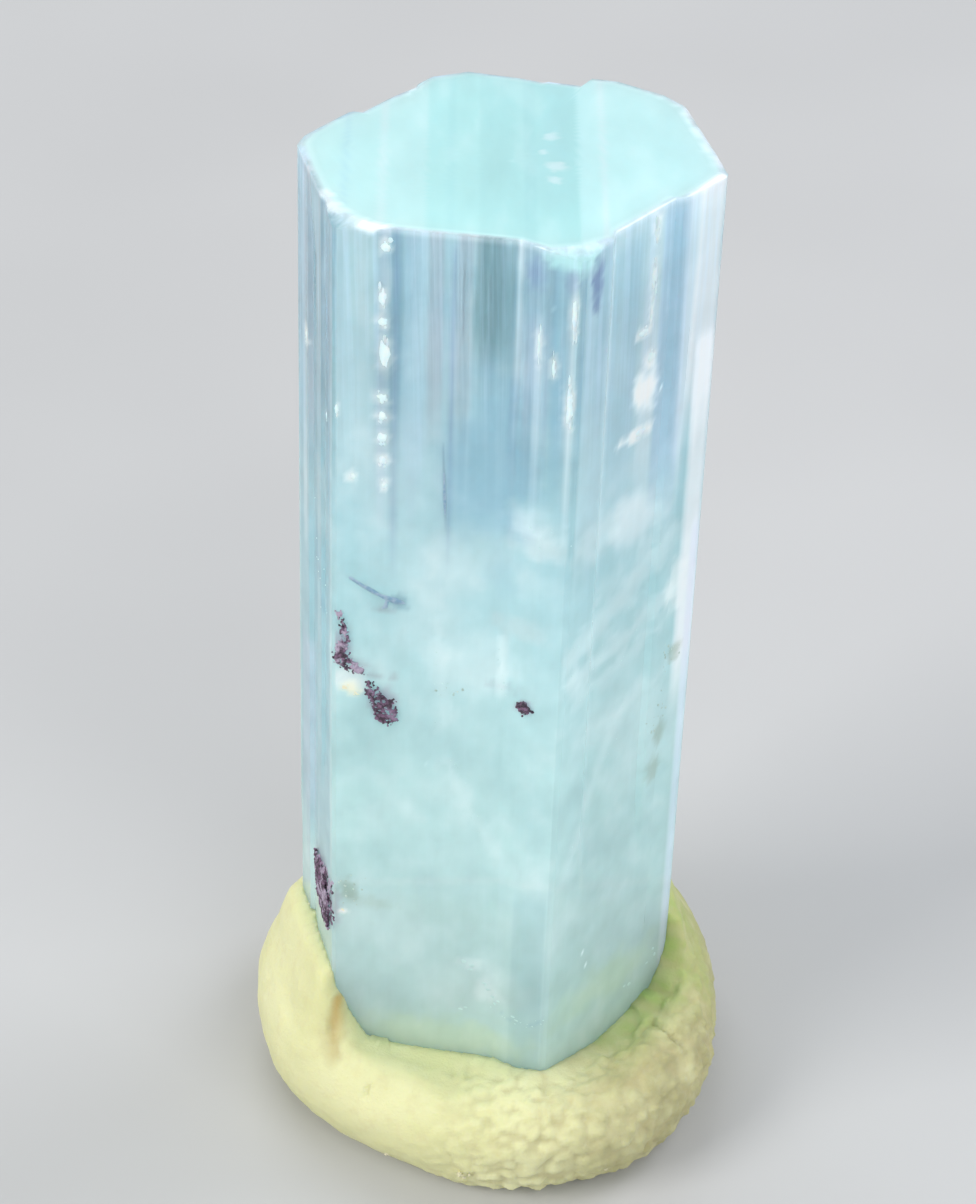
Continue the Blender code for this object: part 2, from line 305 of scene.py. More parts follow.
# --- Crystal: colour and clearness of its skin ------------------------------------------------------------
LOW_COLOUR, HIGH_COLOUR, TOP_COLOUR = (0.67, 0.96, 0.96), (0.61, 0.92, 1.00), (0.55, 0.93, 0.92)
CLOUD_COLOUR, DEEP_COLOUR, FROST = (0.87, 0.99, 1.00), (0.56, 0.84, 0.88), (0.95, 0.99, 1.00)
COLOUR_TURNS = (24.0, 50.0)  # heights in millimetres over which the low colour turns into the high one
MILKY_CLEARNESS, FULL_CLEARNESS, TOP_CLEARNESS = 0.32, 0.62, 0.38
CLEARNESS_TURNS = (33.0, 56.0)
TEAL, INDIGO, LAVENDER, ROSE, WHITE, SKY = (
    (0.13, 0.27, 0.31), (0.19, 0.27, 0.58), (0.76, 0.80, 0.99), (0.52, 0.48, 0.55), (0.90, 0.98, 1.00),
    (0.38, 0.65, 0.88))
CREAM, PEARL, MOSS, ASH, DUSK, STEEL, HAZE = (
    (0.99, 0.96, 0.62), (0.99, 1.00, 0.98), (0.38, 0.48, 0.37), (0.48, 0.53, 0.60), (0.52, 0.46, 0.60), (0.15, 0.32, 0.46),
    (0.72, 0.94, 0.62))
BANDS = [  # face, start and end along it, low and high in millimetres, colour, strength, change of clearness
    (FRONT, 0.0, 2.2, 48.0, 62.0, (0.76, 0.96, 1.00), 0.50, -0.12),
    (FRONT, 2.25, 2.85, 45.0, 62.0, LAVENDER, 0.45, -0.05),
    (FRONT, 2.95, 3.35, 43.0, 62.0, INDIGO, 0.42, 0.0),
    (FRONT, 3.5, 4.6, 46.0, 61.5, (0.62, 0.84, 1.00), 0.60, 0.0),
    (FRONT, 4.7, 5.5, 51.0, 62.0, ROSE, 0.45, 0.0),
    (FRONT, 5.95, 6.15, 44.0, 60.5, INDIGO, 0.55, 0.0),
    (FRONT, 6.2, 7.0, 51.0, 61.8, ROSE, 0.50, 0.05),
    (FRONT, 6.85, 7.0, 47.0, 58.0, WHITE, 0.60, -0.1),
    (FRONT, 7.1, 7.5, 55.5, 62.0, TEAL, 0.55, 0.03),
    (FRONT, 7.4, 8.2, 53.0, 62.0, TEAL, 0.80, 0.05),
    (FRONT, 8.1, 8.6, 54.6, 62.0, TEAL, 0.85, 0.05),
    (FRONT, 8.5, 9.0, 52.6, 61.0, TEAL, 0.55, 0.05),
    (FRONT, 8.9, 9.25, 55.0, 61.6, TEAL, 0.45, 0.03),
    (FRONT, 6.9, 7.3, 53.5, 58.0, TEAL, 0.35, 0.0),
    (FRONT, 9.33, 9.5, 50.0, 61.7, WHITE, 0.60, -0.2),
    (FRONT, 9.6, 11.1, 50.0, 57.0, LAVENDER, 0.40, 0.0),
    (FRONT, 9.6, 11.3, 56.0, 61.2, (0.34, 0.52, 0.70), 0.55, 0.0),
    (FRONT, 10.35, 10.6, 46.5, 57.0, WHITE, 0.55, -0.2),
    (FRONT, 11.2, 11.9, 49.0, 61.5, SKY, 0.45, 0.0),
    (FRONT, 12.0, 12.3, 46.0, 59.8, WHITE, 0.60, -0.2),
    (FRONT, 10.45, 12.3, 4.0, 19.0, (0.50, 0.80, 0.86), 0.42, 0.05),
    (RIGHT_FRONT, 0.3, 8.4, 43.0, 61.4, (0.74, 0.93, 1.00), 0.55, -0.12),
    (RIGHT_FRONT, 0.2, 1.9, 52.0, 61.5, SKY, 0.35, 0.0),
    (RIGHT_FRONT, 2.1, 2.4, 47.0, 60.5, WHITE, 0.45, -0.1),
    (RIGHT_FRONT, 2.6, 4.6, 48.0, 60.0, SKY, 0.25, 0.0),
    (RIGHT_FRONT, 5.0, 6.2, 46.0, 61.3, WHITE, 0.35, -0.1),
    (RIGHT_FRONT, 6.3, 7.9, 45.0, 61.0, (0.45, 0.66, 0.98), 0.40, 0.0),
    (RIGHT_FRONT, 7.6, 8.6, 46.0, 61.6, (0.84, 0.92, 1.00), 0.55, -0.20),
    # This row and the next two, 8.4 to 10.3 mm along the right front face, are a painted reflection of the lights in
    # the crystal's right edge.
    (RIGHT_FRONT, 8.4, 10.3, 48.0, 62.0, (0.93, 0.97, 1.00), 0.90, -0.35),
    (RIGHT_FRONT, 9.0, 10.3, 30.0, 52.0, (0.95, 0.98, 1.00), 0.85, -0.30),
    (RIGHT_FRONT, 9.7, 10.3, 4.0, 40.0, LAVENDER, 0.45, -0.20),
    (LEFT, 0.2, 6.8, 18.0, 62.0, (0.42, 0.66, 0.76), 0.70, 0.0),
    (LEFT, 1.0, 1.8, 38.0, 61.0, WHITE, 0.40, -0.1),
    (LEFT, 4.4, 5.4, 49.0, 61.0, ROSE, 0.35, 0.0),
    (LEFT, 2.6, 4.0, 34.0, 58.0, STEEL, 0.20, 0.0),
    (LEFT, 0.6, 3.0, 19.0, 31.0, LAVENDER, 0.35, 0.0),
]
RANDOM_BANDS = {BACK_LEFT: 14, RIGHT_BACK: 13, BACK: 16, LEFT: 6}
BAND_EDGE = 0.16  # half width of a band's soft side
BAND_END = 3.2  # height over which it fades
PATCHES = [  # face, middle along it, height, half width, half height, colour, strength, change of clearness
    (FRONT, 2.5, 46.5, 2.6, 3.4, CLOUD_COLOUR, 0.30, -0.1), (FRONT, 10.4, 45.6, 1.6, 1.0, CLOUD_COLOUR, 0.35, -0.1),
    (FRONT, 10.9, 44.1, 1.7, 1.0, CLOUD_COLOUR, 0.60, -0.1), (FRONT, 4.6, 42.0, 3.4, 2.2, CLOUD_COLOUR, 0.16, -0.05),
    (FRONT, 7.4, 35.5, 2.4, 2.6, CLOUD_COLOUR, 0.30, -0.1), (FRONT, 10.2, 38.5, 1.6, 0.8, CLOUD_COLOUR, 0.40, 0.0),
    (FRONT, 8.2, 12.0, 2.8, 2.4, CLOUD_COLOUR, 0.20, 0.0), (FRONT, 8.4, 49.0, 2.6, 6.2, (0.44, 0.72, 0.93), 0.65, 0.05),
    (FRONT, 10.2, 60.2, 0.5, 1.0, INDIGO, 0.60, 0.0), (FRONT, 9.2, 34.3, 1.2, 0.35, ASH, 0.28, 0.0),
    (FRONT, 8.1, 13.8, 0.9, 0.5, FROST, 0.28, -0.1), (FRONT, 9.2, 11.9, 0.9, 1.1, FROST, 0.26, -0.1),
    (FRONT, 6.4, 7.9, 5.4, 1.5, HAZE, 0.40, 0.0), (FRONT, 0.95, 32.9, 0.60, 0.50, CREAM, 0.90, -0.2),
    (FRONT, 1.0, 33.4, 1.0, 1.1, PEARL, 0.50, -0.1), (FRONT, 1.3, 34.6, 0.9, 0.45, ASH, 0.45, 0.0),
    (FRONT, 2.3, 34.0, 0.45, 0.30, ASH, 0.55, 0.0), (FRONT, 0.6, 36.6, 0.4, 0.9, ASH, 0.30, 0.0),
    (FRONT, 0.9, 18.3, 0.6, 0.9, MOSS, 0.55, 0.0), (FRONT, 1.9, 17.6, 1.7, 0.5, MOSS, 0.22, 0.0),
    (FRONT, 0.6, 16.6, 0.30, 0.30, PEARL, 0.90, -0.2), (FRONT, 3.60, 39.1, 0.55, 0.50, STEEL, 0.50, 0.0),
    (FRONT, 2.8, 38.6, 0.8, 0.22, ASH, 0.55, 0.0), (FRONT, 12.0, 60.3, 0.4, 1.2, INDIGO, 0.45, 0.0),
    (RIGHT_FRONT, 5.5, 51.2, 1.05, 1.35, PEARL, 1.0, -0.6), (RIGHT_FRONT, 5.1, 48.7, 1.4, 0.45, PEARL, 0.90, -0.4),
    (RIGHT_FRONT, 5.8, 53.1, 0.40, 0.50, PEARL, 0.80, -0.3), (RIGHT_FRONT, 5.0, 54.9, 0.60, 0.35, PEARL, 0.55, -0.2),
    (RIGHT_FRONT, 5.5, 43.2, 2.2, 2.1, FROST, 0.48, -0.22),
    (RIGHT_FRONT, 2.2, 43.6, 1.8, 1.6, CLOUD_COLOUR, 0.45, -0.1),
    (RIGHT_FRONT, 8.7, 37.0, 0.9, 1.6, PEARL, 0.60, -0.2), (RIGHT_FRONT, 9.1, 32.4, 0.40, 0.8, MOSS, 0.60, 0.0),
    (RIGHT_FRONT, 8.3, 27.0, 0.55, 0.9, MOSS, 0.55, 0.0), (RIGHT_FRONT, 7.9, 24.7, 0.70, 1.0, MOSS, 0.50, 0.0),
    (RIGHT_FRONT, 1.0, 59.9, 0.45, 1.72, INDIGO, 0.80, 0.1), (RIGHT_FRONT, 5.0, 10.5, 4.0, 1.8, HAZE, 0.35, 0.0),
    (FRONT, 0.5, 35.6, 0.6, 1.0, DUSK, 0.60, 0.0), (FRONT, 2.8, 32.2, 0.8, 1.2, DUSK, 0.60, 0.0),
    (FRONT, 10.5, 33.3, 0.5, 0.45, DUSK, 0.70, 0.0), (FRONT, 3.3, 34.1, 0.30, 0.25, ASH, 0.50, 0.0),
    (LEFT, 5.2, 16.8, 2.1, 2.0, DUSK, 0.60, 0.0), (FRONT, 0.1, 16.8, 0.45, 1.5, DUSK, 0.45, 0.0),
    (FRONT, 11.8, 61.4, 1.1, 0.7, TOP_COLOUR, 0.90, -0.3), (RIGHT_FRONT, 0.3, 61.4, 0.9, 0.7, TOP_COLOUR, 0.90, -0.3),
    (LEFT, 1.7, 51.6, 0.32, 0.8, PEARL, 0.80, -0.2), (LEFT, 3.6, 43.0, 2.4, 3.0, CLOUD_COLOUR, 0.30, 0.0),
    (BACK, 4.0, 40.0, 3.4, 2.4, CLOUD_COLOUR, 0.35, -0.1), (BACK, 8.0, 22.0, 2.8, 2.2, CLOUD_COLOUR, 0.28, -0.1),
    (BACK_LEFT, 5.0, 31.0, 3.2, 2.2, CLOUD_COLOUR, 0.30, -0.1), (BACK_LEFT, 7.0, 47.0, 0.7, 1.1, PEARL, 0.70, -0.3),
    (RIGHT_BACK, 3.0, 44.0, 1.8, 2.6, CLOUD_COLOUR, 0.38, -0.1), (RIGHT_BACK, 4.4, 20.0, 0.7, 0.9, MOSS, 0.30, 0.0)]
BEADS = [  # face, distance along it, height, half width, half height
    (FRONT, 2.65, 60.8, 0.25, 0.34), (FRONT, 2.53, 57.9, 0.20, 0.60), (FRONT, 2.54, 56.5, 0.24, 0.30),
    (FRONT, 2.66, 54.6, 0.26, 0.90), (FRONT, 2.53, 51.9, 0.28, 0.33), (FRONT, 2.54, 50.8, 0.27, 0.30),
    (FRONT, 2.56, 49.5, 0.25, 0.32), (FRONT, 2.62, 48.1, 0.22, 0.28), (FRONT, 2.70, 46.6, 0.16, 0.26),
    (FRONT, 0.95, 46.8, 0.18, 0.20), (FRONT, 0.14, 50.8, 0.12, 0.30), (FRONT, 10.47, 56.2, 0.10, 0.80),
    (FRONT, 12.15, 58.4, 0.15, 1.05), (FRONT, 12.15, 53.0, 0.20, 1.25), (FRONT, 11.25, 55.2, 0.10, 0.70),
    (RIGHT_FRONT, 5.65, 60.7, 0.18, 0.75), (RIGHT_FRONT, 5.65, 57.9, 0.20, 0.85),
    (RIGHT_FRONT, 5.61, 55.9, 0.10, 0.80), (RIGHT_FRONT, 5.04, 54.9, 0.36, 0.22),
    (RIGHT_FRONT, 5.83, 53.1, 0.28, 0.38), (RIGHT_FRONT, 5.40, 48.7, 0.42, 0.22),
    (LEFT, 1.72, 51.6, 0.16, 0.40), (LEFT, 5.60, 49.2, 0.12, 0.24),
    (BACK_LEFT, 7.0, 47.0, 0.30, 0.44), (BACK, 3.1, 52.0, 0.24, 0.36), (BACK, 3.2, 50.6, 0.20, 0.30)]
BEAD_RISE = 0.022  # how far a bead, needle or fleck breaks the surface, in millimetres
BEAD_THICK = 0.045  # half its depth
BEAD_TOP = 61.6  # no bead reaches above this height
VEILS = [  # face, start along it and up it, end, sag of the curve between them, half width, colour, strength
    (RIGHT_FRONT, 0.4, 36.7, 7.8, 41.0, -0.7, 1.10, CLOUD_COLOUR, 0.45),
    (RIGHT_FRONT, 0.8, 35.2, 8.2, 37.0, -0.9, 0.80, CLOUD_COLOUR, 0.42),
    (RIGHT_FRONT, 1.2, 33.9, 7.4, 34.9, -0.8, 0.55, CLOUD_COLOUR, 0.30),
    (RIGHT_FRONT, 2.2, 30.6, 8.8, 32.0, -0.8, 0.50, CLOUD_COLOUR, 0.20),
    (RIGHT_FRONT, 1.0, 21.0, 5.6, 31.0, 0.7, 0.45, CLOUD_COLOUR, 0.20),
    (FRONT, 10.0, 45.4, 12.1, 44.7, -0.3, 0.50, CLOUD_COLOUR, 0.35),
    (FRONT, 5.6, 38.0, 6.1, 31.0, 0.2, 0.50, CLOUD_COLOUR, 0.22),
    (FRONT, 9.2, 37.4, 9.3, 33.9, 0.1, 0.30, CLOUD_COLOUR, 0.40),
    (FRONT, 6.4, 28.4, 9.4, 22.6, -0.6, 0.40, CLOUD_COLOUR, 0.20),
    (FRONT, 9.74, 10.75, 12.6, 10.9, -0.8, 0.14, STEEL, 0.30),
    (LEFT, 3.0, 42.0, 5.0, 36.0, 0.6, 0.20, STEEL, 0.40),
    (BACK, 1.5, 29.0, 9.6, 33.8, 1.4, 0.80, CLOUD_COLOUR, 0.32),
    (BACK, 2.5, 26.6, 8.0, 29.6, 1.0, 0.60, CLOUD_COLOUR, 0.24),
    (BACK_LEFT, 1.5, 40.6, 8.6, 38.2, -1.2, 0.75, CLOUD_COLOUR, 0.32),
    (BACK_LEFT, 2.0, 37.8, 7.0, 36.2, -0.8, 0.55, CLOUD_COLOUR, 0.22),
    (RIGHT_BACK, 1.0, 31.6, 7.2, 32.6, -1.1, 0.70, CLOUD_COLOUR, 0.30)]
VEIL_POINTS = 9
HLINE_COLOUR = (0.60, 0.86, 0.88)
HLINES = {FRONT: (18.40, 0.185, 0.42), RIGHT_FRONT: (20.60, -0.59, 0.28)}  # height where along is 0, slope, strength
RIM_FROST = [(203, 12, 0.60), (221, 6, 0.90), (18, 34, 0.55), (128, 12, 0.40)]  # turns in degrees
RIM_FROST_DEEP = 0.55  # millimetres below the top
RIM_EDGE, RIM_EDGE_DEEP = 0.30, 0.45  # the fine pale line along the whole rim, and its depth in millimetres
TOP_SPOTS = [(2.2, -0.5, 0.50), (2.0, 2.4, 0.40), (2.1, -1.8, 0.40), (1.6, 0.9, 0.30)]  # place and size, in mm
TOP_SPOT_COLOUR = (0.80, 1.00, 1.00)
TOP_BANDS = [  # start and end across the top in millimetres from its middle, colour, strength
    (-12.0, -4.2, (0.70, 0.98, 0.97), 0.55), (-6.6, -6.2, WHITE, 0.30), (-8.4, -8.1, SKY, 0.20),
    (-1.6, 3.3, (0.50, 0.86, 0.86), 0.70), (0.6, 1.2, (0.44, 0.78, 0.80), 0.40), (3.3, 12.0, (0.68, 1.00, 1.00), 0.80),
    (4.4, 4.7, WHITE, 0.35), (-3.2, -2.8, (0.46, 0.84, 0.86), 0.35)]


def all_bands(rng):
    """The bands that are named, and a scatter of like ones on the faces away from the front."""
    found = list(BANDS)
    for face, count in RANDOM_BANDS.items():
        for _ in range(count):
            start = rng.uniform(0.1, face_length(face) - 1.0)
            low = rng.uniform(34, 54)
            colour = rng.choice((TEAL, INDIGO, LAVENDER, ROSE, WHITE, SKY, SKY))
            found.append((face, start, start + rng.uniform(0.15, 1.5), low, low + rng.uniform(9, 26), colour,
                          rng.uniform(0.2, 0.6), rng.uniform(-0.2, 0.1)))
    return found


def blend(colour, tint, share):
    return colour.lerp(Vector(tint), min(max(share, 0.0), 1.0))


def frost_at(spot, drop):
    """How white the bruised rim is, drop millimetres below the top."""
    turn = math.degrees(math.atan2(spot.y, spot.x))
    share = RIM_EDGE * ramp(drop, RIM_EDGE_DEEP, 0.02)
    for middle, half, strength in RIM_FROST:
        away = abs((turn - middle + 180) % 360 - 180)
        ragged = 0.85 + 0.9 * noise.noise(spot / (0.55 * MM))
        share = max(share, strength * ramp(away, half, half * 0.4) * ramp(drop, RIM_FROST_DEEP * ragged, 0.05))
    return share


def all_patches():
    """The patches that are named, with a painted glow round each bead."""
    # painted glow: a pale, less clear patch round each bead
    painted_bead_glows = [(face, along, up, wide * 1.5 + 0.08, tall * 1.25 + 0.12, PEARL, 0.70, -0.2)
             for face, along, up, wide, tall in BEADS]
    return PATCHES + painted_bead_glows


def all_veils():
    """The veils as (face, line in millimetres along and up it, half width, colour, strength)."""
    found = []
    for face, along, up, end_along, end_up, sag, half, tint, share in VEILS:
        steps = [k / (VEIL_POINTS - 1) for k in range(VEIL_POINTS)]
        line = [Vector((along + (end_along - along) * step, up + (end_up - up) * step
                        + sag * math.sin(math.pi * step), 0.0)) for step in steps]
        found.append((face, line, half, tint, share))
    return found


def wall_look(bands, patches, veils, spot, face, along, up, top):
    """(colour, clearness) of the wall at a spot, which is on a face, along it and up it in millimetres."""
    colour = blend(Vector(LOW_COLOUR), HIGH_COLOUR, ramp(up, *COLOUR_TURNS))
    clear = MILKY_CLEARNESS + (FULL_CLEARNESS - MILKY_CLEARNESS) * ramp(up, *CLEARNESS_TURNS)
    mist = noise.fractal(spot / (6.5 * MM), 1.0, 2.0, 4)
    wisps = noise.fractal(Vector((spot.x, spot.y, spot.z * 0.7)) / (1.5 * MM), 1.0, 2.0, 4)
    colour = blend(colour, CLOUD_COLOUR, 0.26 * ramp(mist, 0.0, 0.7) + 0.20 * ramp(wisps, 0.05, 0.8))
    colour = blend(colour, DEEP_COLOUR, 0.26 * ramp(mist, 0.0, -0.7) + 0.16 * ramp(wisps, -0.05, -0.8))
    clear -= 0.08 * mist + 0.06 * wisps
    streak = noise.noise(Vector((spot.x, spot.y, spot.z * 0.05)) / (0.85 * MM)) * (0.55 + 0.65 * ramp(wisps, -0.4, 0.4))
    height = ramp(up, 45, 58)
    colour = blend(colour, SKY, 0.40 * height * ramp(streak, 0.0, 0.5))
    colour = blend(colour, WHITE, 0.40 * height * ramp(streak, 0.0, -0.5))
    if face in HLINES:
        start, slope, share = HLINES[face]
        over = up - start - slope * along
        colour = blend(colour, HLINE_COLOUR, share * ramp(over, 0.15, -0.15))
        colour = blend(colour, CLOUD_COLOUR, 0.5 * share * ramp(abs(over - 0.3), 0.5, 0.0))
    for where, start, end, low, high, tint, share, change in bands:
        if where != face or not start - BAND_EDGE < along < end + BAND_EDGE:
            continue
        wobble = 1.6 * noise.noise(Vector((along * 2.2, up * 0.05, start)))
        inside = ramp(along, start - BAND_EDGE, start + BAND_EDGE) * ramp(along, end + BAND_EDGE, end - BAND_EDGE)
        inside *= ramp(up, low - BAND_END + wobble, low + BAND_END + wobble) * ramp(up, high + 1.5, high)
        colour, clear = blend(colour, tint, inside * share), clear + change * inside
    for where, middle, level, wide, tall, tint, share, change in patches:
        if where == face and abs(along - middle) < 1.7 * wide and abs(up - level) < 1.7 * tall:
            ragged = 0.45 * noise.fractal(spot / (max(min(wide, tall), 0.4) * MM), 1.0, 2.0, 3)
            inside = ramp(math.hypot((along - middle) / wide, (up - level) / tall) + ragged, 1.3, 0.4)
            colour, clear = blend(colour, tint, inside * share), clear + change * inside
    for where, line, half, tint, share in veils:
        if where == face and line[0].x - half < along < line[-1].x + half:
            ragged = 1.0 + 1.1 * noise.fractal(spot / (1.2 * MM), 1.0, 2.0, 3)
            inside = ramp(distance_to_line(Vector((along, up, 0.0)), line), half * 1.6 * ragged, 0.0)
            colour, clear = blend(colour, tint, inside * share), clear - 0.25 * inside * share
    frost = frost_at(spot - axis_at(spot.z), top - up)
    return blend(colour, FROST, frost), min(max(clear - 0.6 * frost, 0.05), 0.93)


def top_look(spot, share):
    """(colour, clearness) of the top at a spot from its middle, where share is how near the rim it is."""
    colour, across = Vector(TOP_COLOUR), spot.x / MM
    for start, end, tint, strength in TOP_BANDS:
        inside = ramp(across, start - 0.12, start + 0.12) * ramp(across, end + 0.12, end - 0.12)
        colour = blend(colour, tint, inside * strength)
    mist = noise.fractal(Vector((spot.x * 1.6, spot.y * 0.6, 0.0)) / (3.0 * MM), 1.0, 2.0, 4)
    colour = blend(colour, FROST, 0.09 * ramp(mist, 0.05, 0.6))
    for x, y, size in TOP_SPOTS:
        away = math.hypot(spot.x / MM - x, spot.y / MM - y) / size + 0.5 * noise.noise(spot / (0.4 * MM))
        colour = blend(colour, TOP_SPOT_COLOUR, 0.80 * ramp(away, 1.3, 0.4))
    frost = frost_at(spot, (1 - share) * 9.0)
    return blend(colour, FROST, frost), TOP_CLEARNESS - 0.05 * mist - 0.4 * frost


def build_crystal():
    """The fine skin: striated wall, chipped rim, nearly flat top and flat foot, with its bands as attributes."""
    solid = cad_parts["aquamarine_crystal"]
    low, high = (corner.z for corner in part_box("aquamarine_crystal"))
    turns, levels = column_turns(solid), wall_levels(low, high)
    reach = wall_reach(solid, turns, levels)
    pits, bands = etch_pits(random.Random(11)), all_bands(random.Random(5))
    patches, veils = all_patches(), all_veils()
    count = len(turns)
    verts, tint, clear = [], [], []
    places = [face_of(turn) for turn in turns]
    for j, level in enumerate(levels):
        settle = ramp(high - level, 0.0, 0.9 * MM)
        streaky = LOW_STREAKS + (1 - LOW_STREAKS) * ramp(level / MM, 45, 58)
        for k, (face, along) in enumerate(places):
            inset = striation(face, along, level) * streaky + pit_depth(pits, face, along, level / MM)
            verts.append(axis_at(level) + direction(turns[k]) * (reach[j, k] - settle * max(inset, -0.01 * MM)))
            colour, clearness = wall_look(bands, patches, veils, verts[-1], face, along, level / MM, high / MM)
            tint.append((*colour, streaky))
            clear.append(clearness)
    middle = axis_at(high)
    rim = [verts[(len(levels) - 1) * count + k] for k in range(count)]
    for share in TOP_RINGS:
        for k in range(count):
            spot = middle + (rim[k] - middle) * share
            relief = min(noise.noise(Vector((spot.x, spot.y, 0.0)) / (2.2 * MM)) - 0.6, 0.0)
            verts.append(Vector((spot.x, spot.y, high + TOP_RELIEF * relief * ramp(share, 1.0, 0.85))))
            colour, clearness = top_look(verts[-1] - middle, share)
            tint.append((*colour, 0.0))
            clear.append(clearness)
    rings = len(levels) + len(TOP_RINGS)
    faces = [(j * count + k, j * count + (k + 1) % count, (j + 1) * count + (k + 1) % count, (j + 1) * count + k)
             for j in range(rings - 1) for k in range(count)]
    for ring, centre, flip in (((rings - 1) * count, Vector((middle.x, middle.y, high)), False),
                               (0, axis_at(low), True)):
        hub = len(verts)
        verts.append(centre)
        tint.append(tint[ring])
        clear.append(clear[ring])
        for k in range(count):
            pair = (ring + k, ring + (k + 1) % count)
            faces.append((pair[1], pair[0], hub) if flip else (*pair, hub))
    data = mesh_from("crystal_skin", verts, faces)
    data.attributes.new("tint", "FLOAT_COLOR", "POINT").data.foreach_set("color", np.ravel(tint))
    data.attributes.new("clear", "FLOAT", "POINT").data.foreach_set("value", clear)
    data.shade_smooth()
    data.set_sharp_from_angle(angle=SHARP_ANGLE)
    made = add_object("crystal_skin", data)
    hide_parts("aquamarine_crystal")
    data.materials.append(crystal_material())
    return made


SATIN_AND_GLOSS = (0.26, 0.11)  # roughness of the top and the low part, and of the streaked upper part


def crystal_material():
    """Pale aqua beryl: clear and streaky near the top, clouded with fine inclusions lower down."""
    paint = Paint("aquamarine", IOR=1.577, Subsurface_Weight=0.8, Subsurface_Scale=0.008,
                  Subsurface_Radius=(0.6, 1.0, 1.0))
    paint.shader.subsurface_method = "BURLEY"
    tint, clear = paint.attribute("tint"), paint.attribute("clear").outputs["Fac"]
    streaks = paint.noise(3.0, 0.05, detail=4.0, rough=0.6)
    share = paint.maths("MULTIPLY", paint.remap(streaks, 0.42, 0.70, 0.0, 0.36), tint.outputs["Alpha"])
    relief = paint.maths("MULTIPLY", streaks, tint.outputs["Alpha"])
    paint.set(Base_Color=paint.mix(share, tint.outputs["Color"], (0.66, 0.80, 0.96)),
              Transmission_Weight=paint.maths("ADD", clear, paint.maths("MULTIPLY", share, -0.3)),
              Roughness=paint.remap(tint.outputs["Alpha"], 0.0, 1.0, *SATIN_AND_GLOSS),
              Normal=paint.bump(relief, 0.35, 0.02 * MM))
    absorb = paint.add("ShaderNodeVolumeAbsorption", {"Color": (0.74, 0.965, 0.98, 1.0), "Density": 30.0})
    output = next(node for node in paint.tree.nodes if node.type == "OUTPUT_MATERIAL")
    paint.tree.links.new(absorb.outputs["Volume"], output.inputs["Volume"])
    return paint.material


# --- Inclusions just under the faces ----------------------------------------------------------------------
class Skin:
    """Places things by prism face, distance along it, height and depth under the crystal's surface."""

    def __init__(self, crystal):
        self.tree = tree_of(crystal)

    def spot(self, face, along, up, depth=0.0):
        """(point, outward normal), from values in millimetres."""
        middle = axis_at(up * MM)
        nominal = first_corner(face) + direction(face_turn(face) + math.pi / 2) * (along * MM)
        hit, normal, _, _ = self.tree.ray_cast(middle, nominal.normalized())
        return hit - normal * (depth * MM), normal


NEEDLE = [(0.30, 40.5, 0.05), (1.10, 40.1, 0.13), (1.90, 39.75, 0.17), (2.70, 39.35, 0.15), (3.40, 39.15, 0.24),
          (3.95, 39.05, 0.06)]
NEEDLE_FORK = [(2.95, 39.2, 0.12), (2.85, 38.7, 0.15), (2.45, 38.4, 0.05)]
INDIGO_SEAM = [(5.65, 49.6, 0.04), (5.75, 47.5, 0.09), (5.82, 46.0, 0.12), (5.90, 44.2, 0.05)]
GROWTH_TUBES = 120
VEIL_FLECKS = 12
FOOT_FLECKS = [(8.0, 13.9, 3, 0.22), (8.9, 12.2, 3, 0.22), (9.6, 11.3, 4, 0.26), (7.5, 10.2, 2, 0.15),
               (10.6, 10.6, 2, 0.30)]  # along, up, how many, spread
SIDE_FLECKS = [(7.5, 8.9, 2, 0.3), (9.0, 9.6, 3, 0.25)]  # the same on the right front face


def tube(verts, faces, points, radii, flat=1.0, outward=None, sides=8):
    """Adds a closed tapering tube along points. Flat squeezes it along the outward direction."""
    start = len(verts)
    for k, (centre, radius) in enumerate(zip(points, radii)):
        ahead = (points[min(k + 1, len(points) - 1)] - points[max(k - 1, 0)]).normalized()
        normal = outward if outward is not None else ahead.orthogonal().normalized()
        side = ahead.cross(normal).normalized()
        up = side.cross(ahead).normalized()
        for j in range(sides):
            angle = 2 * math.pi * j / sides
            verts.append(centre + (side * math.cos(angle) + up * (math.sin(angle) * flat)) * radius)
    for k in range(len(points) - 1):
        for j in range(sides):
            a, b = start + k * sides + j, start + k * sides + (j + 1) % sides
            faces.append((a, b, b + sides, a + sides))
    faces.append(tuple(start + j for j in reversed(range(sides))))
    faces.append(tuple(start + (len(points) - 1) * sides + j for j in range(sides)))


def blob(verts, faces, centre, axes, rng, rough=0.25, rings=7, sides=10):
    """Adds a closed lumpy ellipsoid. Axes are its three half extents as vectors."""
    start = len(verts)
    shift = Vector((rng.uniform(0, 50), rng.uniform(0, 50), rng.uniform(0, 50)))

    def point(theta, phi):
        unit = Vector((math.sin(theta) * math.cos(phi), math.sin(theta) * math.sin(phi), math.cos(theta)))
        swell = 1.0 + rough * noise.noise(unit * 1.6 + shift)
        return centre + (axes[0] * unit.x + axes[1] * unit.y + axes[2] * unit.z) * swell

    verts.append(point(0.0, 0.0))
    for j in range(1, rings):
        for k in range(sides):
            verts.append(point(math.pi * j / rings, 2 * math.pi * k / sides))
    verts.append(point(math.pi, 0.0))
    last = len(verts) - 1
    for k in range(sides):
        faces.append((start, start + 1 + k, start + 1 + (k + 1) % sides))
        faces.append((last, last - sides + (k + 1) % sides, last - sides + k))
    for j in range(rings - 2):
        for k in range(sides):
            a, b = start + 1 + j * sides + k, start + 1 + j * sides + (k + 1) % sides
            faces.append((a, a + sides, b + sides, b))


